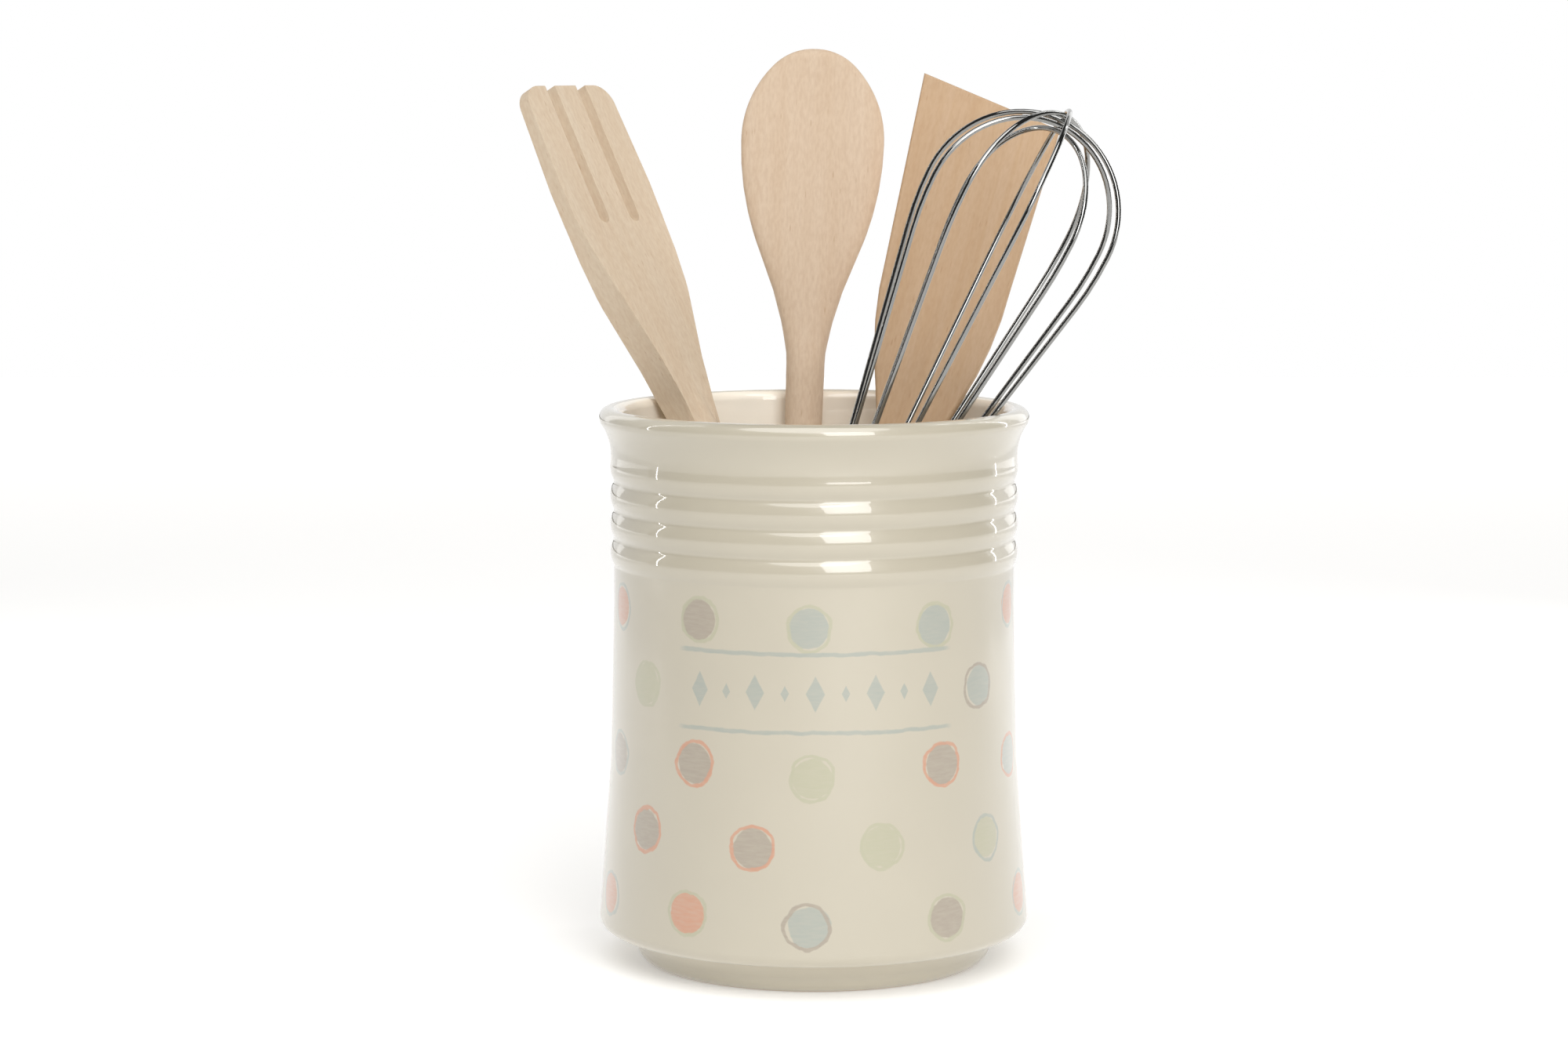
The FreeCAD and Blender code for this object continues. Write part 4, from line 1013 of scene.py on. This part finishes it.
class MESH_OT_crock_whisk_grip(bpy.types.Operator):
    """Turns the whisk's handle, its steel sleeve and the filling round its wires"""
    bl_idname = "mesh.crock_whisk_grip"
    bl_label = "Whisk grip"

    def execute(self, context):
        sizes = context.scene.crock_whisk
        colours = context.scene.crock_finish
        place = placement(sizes.foot, LEANS["whisk"], sizes.turn)
        sleeve_foot = sizes.handle_length - sizes.tenon
        sleeve_top = sizes.handle_length + sizes.sleeve_shown
        bore = sizes.sleeve - sizes.sleeve_wall
        inside = bore - sizes.fit
        run = sleeve_foot / 2
        swell = sizes.belly - sizes.end
        fall = sizes.belly - sizes.sleeve
        grip = bmesh.new()
        lathe(grip, [
            (0, -sizes.end, sizes.end),
            (sizes.end, 0, (run * run + swell * swell) / (2 * swell)),
            (sizes.belly, run, (run * run + fall * fall) / (2 * fall)),
            (sizes.sleeve, sleeve_foot, None),
            (inside, sleeve_foot, None),
            (inside, sizes.handle_length, None),
            (0, sizes.handle_length, None),
        ], False, TURNED_STEPS)
        wood = bare_beech("bare_beech_grip", colours.beech, colours, place, seed=4, depth=0.20)
        finish_piece(grip, "whisk_grip", place, [wood], "whisk", ["whisk_handle"])
        sleeve = bmesh.new()
        lathe(sleeve, [
            (bore, sleeve_foot + sizes.fit, None),
            (sizes.sleeve, sleeve_foot + sizes.fit, None),
            (sizes.sleeve, sleeve_top - sizes.sleeve_wall, sizes.sleeve_wall),
            (bore, sleeve_top, None),
        ], True, TURNED_STEPS)
        steel = polished_steel("brushed_stainless_sleeve", colours, place, roughness=0.22)
        finish_piece(sleeve, "whisk_sleeve", place, [steel], "whisk", ["whisk_ferrule"])
        filling = bmesh.new()
        top = sleeve_top - sizes.sleeve_wall
        socket = sizes.wire + sizes.fit
        depth = top - sizes.handle_length - sizes.fit
        rims = [(inside, TURNED_STEPS, Matrix.Translation((0, 0, top)), depth)]
        for degrees in LOOP_DEGREES:
            for leg in (sizes.ring, -sizes.ring):
                turned = Matrix.Rotation(math.radians(degrees), 4, "Z")
                rims.append((socket, WIRE_SIDES, turned @ Matrix.Translation((leg, 0, top)), sizes.embed))
        self.bore_filling(filling, rims)
        resin = cast_resin(colours)
        finish_piece(filling, "whisk_filling", place, [resin], "whisk", ["whisk_plug"])
        return {"FINISHED"}

    def bore_filling(self, shape, rims):
        """Fills the top between the outer rim and the wires' sockets, and draws each rim to its depth."""
        rings = []
        for radius, sides, place, depth in rims:
            ring = bmesh.ops.create_circle(shape, segments=sides, radius=radius, matrix=place)["verts"]
            rings.append((list({edge for vert in ring for edge in vert.link_edges}), depth))
        bmesh.ops.triangle_fill(shape, use_beauty=True, edges=list(shape.edges), normal=(0, 0, 1))
        for rim, depth in rings:
            lower, _ = grow(shape, rim)
            bmesh.ops.translate(shape, verts=lower, vec=(0, 0, -depth))
            bmesh.ops.contextual_create(shape, geom=lower)


class MESH_OT_crock_whisk_wires(bpy.types.Operator):
    """Bends each wire loop of the whisk from a round section that is drawn and spun along its line"""
    bl_idname = "mesh.crock_whisk_wires"
    bl_label = "Whisk wires"

    def execute(self, context):
        sizes = context.scene.crock_whisk
        place = placement(sizes.foot, LEANS["whisk"], sizes.turn)
        steel = polished_steel("drawn_stainless_wire", context.scene.crock_finish, place, roughness=0.06)
        for order, degrees in enumerate(LOOP_DEGREES):
            shape = bmesh.new()
            self.bend_loop(shape, self.wire_line(sizes, order), sizes.wire)
            turned = place @ Matrix.Rotation(math.radians(degrees), 4, "Z")
            finish_piece(shape, f"whisk_wire_{order + 1}", turned, [steel], "whisk",
                         [f"whisk_wire_loop_{order + 1}"], crease=SOFT_CREASE)
        return {"FINISHED"}

    def wire_line(self, sizes, order):
        """The line of one loop, a wire's thickness lower and a step narrower than the loop over it."""
        sleeve_top = sizes.handle_length + sizes.sleeve_shown
        apex = sleeve_top + sizes.cage_length - sizes.wire - order * (2 * sizes.wire + sizes.fit)
        widest = sizes.cage_radius - sizes.wire - order * sizes.cage_step
        shoulder = apex - widest
        leg_end = sleeve_top - sizes.sleeve_wall - sizes.embed + sizes.fit
        height = shoulder - sleeve_top
        both = sizes.bend + sizes.bow
        spread = both - (widest - sizes.ring)
        square = height * height + spread * spread
        gap = math.sqrt(square - both * both)
        sine = (height * both - spread * gap) / square
        cosine = (spread * both + height * gap) / square
        low_x = sizes.ring + sizes.bend * (1 - cosine)
        low_z = sleeve_top + sizes.bend * sine
        high_x = widest - sizes.bow * (1 - cosine)
        high_z = shoulder - sizes.bow * sine
        return [
            (sizes.ring, leg_end, None),
            (sizes.ring, sleeve_top, -sizes.bend),
            (low_x, low_z, None),
            (high_x, high_z, sizes.bow),
            (widest, shoulder, widest),
            (0, apex, widest),
            (-widest, shoulder, sizes.bow),
            (-high_x, high_z, None),
            (-low_x, low_z, -sizes.bend),
            (-sizes.ring, sleeve_top, None),
            (-sizes.ring, leg_end, None),
        ]

    def bend_loop(self, shape, line, radius):
        """Extrudes the wire's section along the straight runs and spins it round the bends."""
        section = bmesh.ops.create_circle(shape, cap_ends=True, segments=WIRE_SIDES, radius=radius)["verts"]
        x, z, _ = line[0]
        bmesh.ops.translate(shape, verts=section, vec=(x, 0, z))
        end = list(shape.edges)
        for (x, z, bend), (next_x, next_z, _) in zip(line, line[1:]):
            if bend is None:
                verts, _ = grow(shape, end)
                bmesh.ops.translate(shape, verts=verts, vec=(next_x - x, 0, next_z - z))
            else:
                centre, sweep = arc_of(Vector((x, z)), Vector((next_x, next_z)), bend)
                spun = bmesh.ops.spin(shape, geom=end, cent=(centre.x, 0, centre.y), axis=(0, -1, 0),
                                      dvec=(0, 0, 0), angle=sweep, steps=arc_steps(sweep, 3),
                                      use_merge=False)["geom_last"]
                verts = [item for item in spun if isinstance(item, bmesh.types.BMVert)]
            last = set(verts)
            near = dict.fromkeys(edge for vert in verts for edge in vert.link_edges)
            end = [edge for edge in near if all(tip in last for tip in edge.verts)]
        bmesh.ops.contextual_create(shape, geom=end)


class SCENE_OT_crock_stage(bpy.types.Operator):
    """Sets the paper, the soft lights and the camera"""
    bl_idname = "scene.crock_stage"
    bl_label = "Stage"

    def execute(self, context):
        sizes = context.scene.crock_stage
        shape = bmesh.new()
        bmesh.ops.create_grid(shape, x_segments=1, y_segments=1, size=sizes.floor_reach)
        mesh = bpy.data.meshes.new("studio_floor")
        shape.to_mesh(mesh)
        shape.free()
        mesh.materials.append(studio_paper(context.scene.crock_finish))
        floor = bpy.data.objects.new("studio_floor", mesh)
        context.scene.collection.objects.link(floor)

        world = bpy.data.worlds.new("studio")
        world.use_nodes = True
        tree = world.node_tree
        tree.nodes.clear()
        # The eye sees a white surround, while the steel and the glaze mirror a dim room.
        seen = add(tree, "LightPath").outputs["Is Camera Ray"]
        strength = add(tree, "MapRange", {"Value": seen, "To Min": sizes.room})
        sky = add(tree, "Background", {"Color": WHITE, "Strength": strength})
        add(tree, "OutputWorld", [sky])
        context.scene.world = world

        for name, (place, size, power) in SOFTBOXES.items():
            light = bpy.data.lights.new(name, "AREA")
            light.shape = "RECTANGLE"
            light.size, light.size_y = size
            light.energy = power
            aim = CROCK_MIDDLE - Vector(place)
            holder = self.hang(context, name, light, place, aim.to_track_quat("-Z", "Y").to_euler())
            holder.visible_camera = False
        # A broad scrim overhead keeps the paper white out to the horizon.
        scrim = bpy.data.lights.new("scrim", "SUN")
        scrim.energy = SCRIM_STRENGTH
        scrim.angle = SCRIM_SPREAD
        self.hang(context, "scrim", scrim, (0, 0, 0), (SCRIM_TILT, 0, 0))

        camera = bpy.data.cameras.new("camera")
        camera.sensor_width = SENSOR_WIDTH
        camera.lens = sizes.lens
        camera.clip_end = FAR_CLIP
        place = (-sizes.camera_aside, -sizes.camera_distance, sizes.camera_height)
        turn = (math.pi / 2 - sizes.camera_pitch, 0, 0)
        context.scene.camera = self.hang(context, "camera", camera, place, turn)
        context.scene.view_settings.view_transform = "Standard"
        return {"FINISHED"}

    def hang(self, context, name, thing, place, turn):
        """Puts a light or the camera into the scene."""
        holder = bpy.data.objects.new(name, thing)
        holder.location = place
        holder.rotation_euler = turn
        context.scene.collection.objects.link(holder)
        return holder


OPERATORS = (
    MESH_OT_crock_body,
    MESH_OT_crock_spoon,
    MESH_OT_crock_fork,
    MESH_OT_crock_spatula,
    MESH_OT_crock_whisk_grip,
    MESH_OT_crock_whisk_wires,
    SCENE_OT_crock_stage,
)
GROUPS = {
    "crock": CrockSizes,
    "crock_spoon": SpoonSizes,
    "crock_fork": ForkSizes,
    "crock_spatula": SpatulaSizes,
    "crock_whisk": WhiskSizes,
    "crock_finish": FinishColours,
    "crock_stage": StageSizes,
}


class VIEW3D_PT_crock(bpy.types.Panel):
    """Lists the crock's pieces and sizes"""
    bl_label = "Utensil crock"
    bl_space_type = "VIEW_3D"
    bl_region_type = "UI"
    bl_category = "Crock"

    def draw(self, context):
        for operator in OPERATORS:
            self.layout.operator(operator.bl_idname)
        for name in GROUPS:
            box = self.layout.box()
            group = getattr(context.scene, name)
            for key in group.bl_rna.properties.keys():
                if key not in ("rna_type", "name"):
                    box.prop(group, key)


def register():
    for kind in (*GROUPS.values(), *OPERATORS, VIEW3D_PT_crock):
        bpy.utils.register_class(kind)
    for name, group in GROUPS.items():
        setattr(bpy.types.Scene, name, PointerProperty(type=group))


def unregister():
    for name in GROUPS:
        delattr(bpy.types.Scene, name)
    for kind in reversed((*GROUPS.values(), *OPERATORS, VIEW3D_PT_crock)):
        bpy.utils.unregister_class(kind)


def main():
    register()
    bpy.ops.mesh.crock_body()
    bpy.ops.mesh.crock_spoon()
    bpy.ops.mesh.crock_fork()
    bpy.ops.mesh.crock_spatula()
    bpy.ops.mesh.crock_whisk_grip()
    bpy.ops.mesh.crock_whisk_wires()
    bpy.ops.scene.crock_stage()


if __name__ == "__main__":
    main()
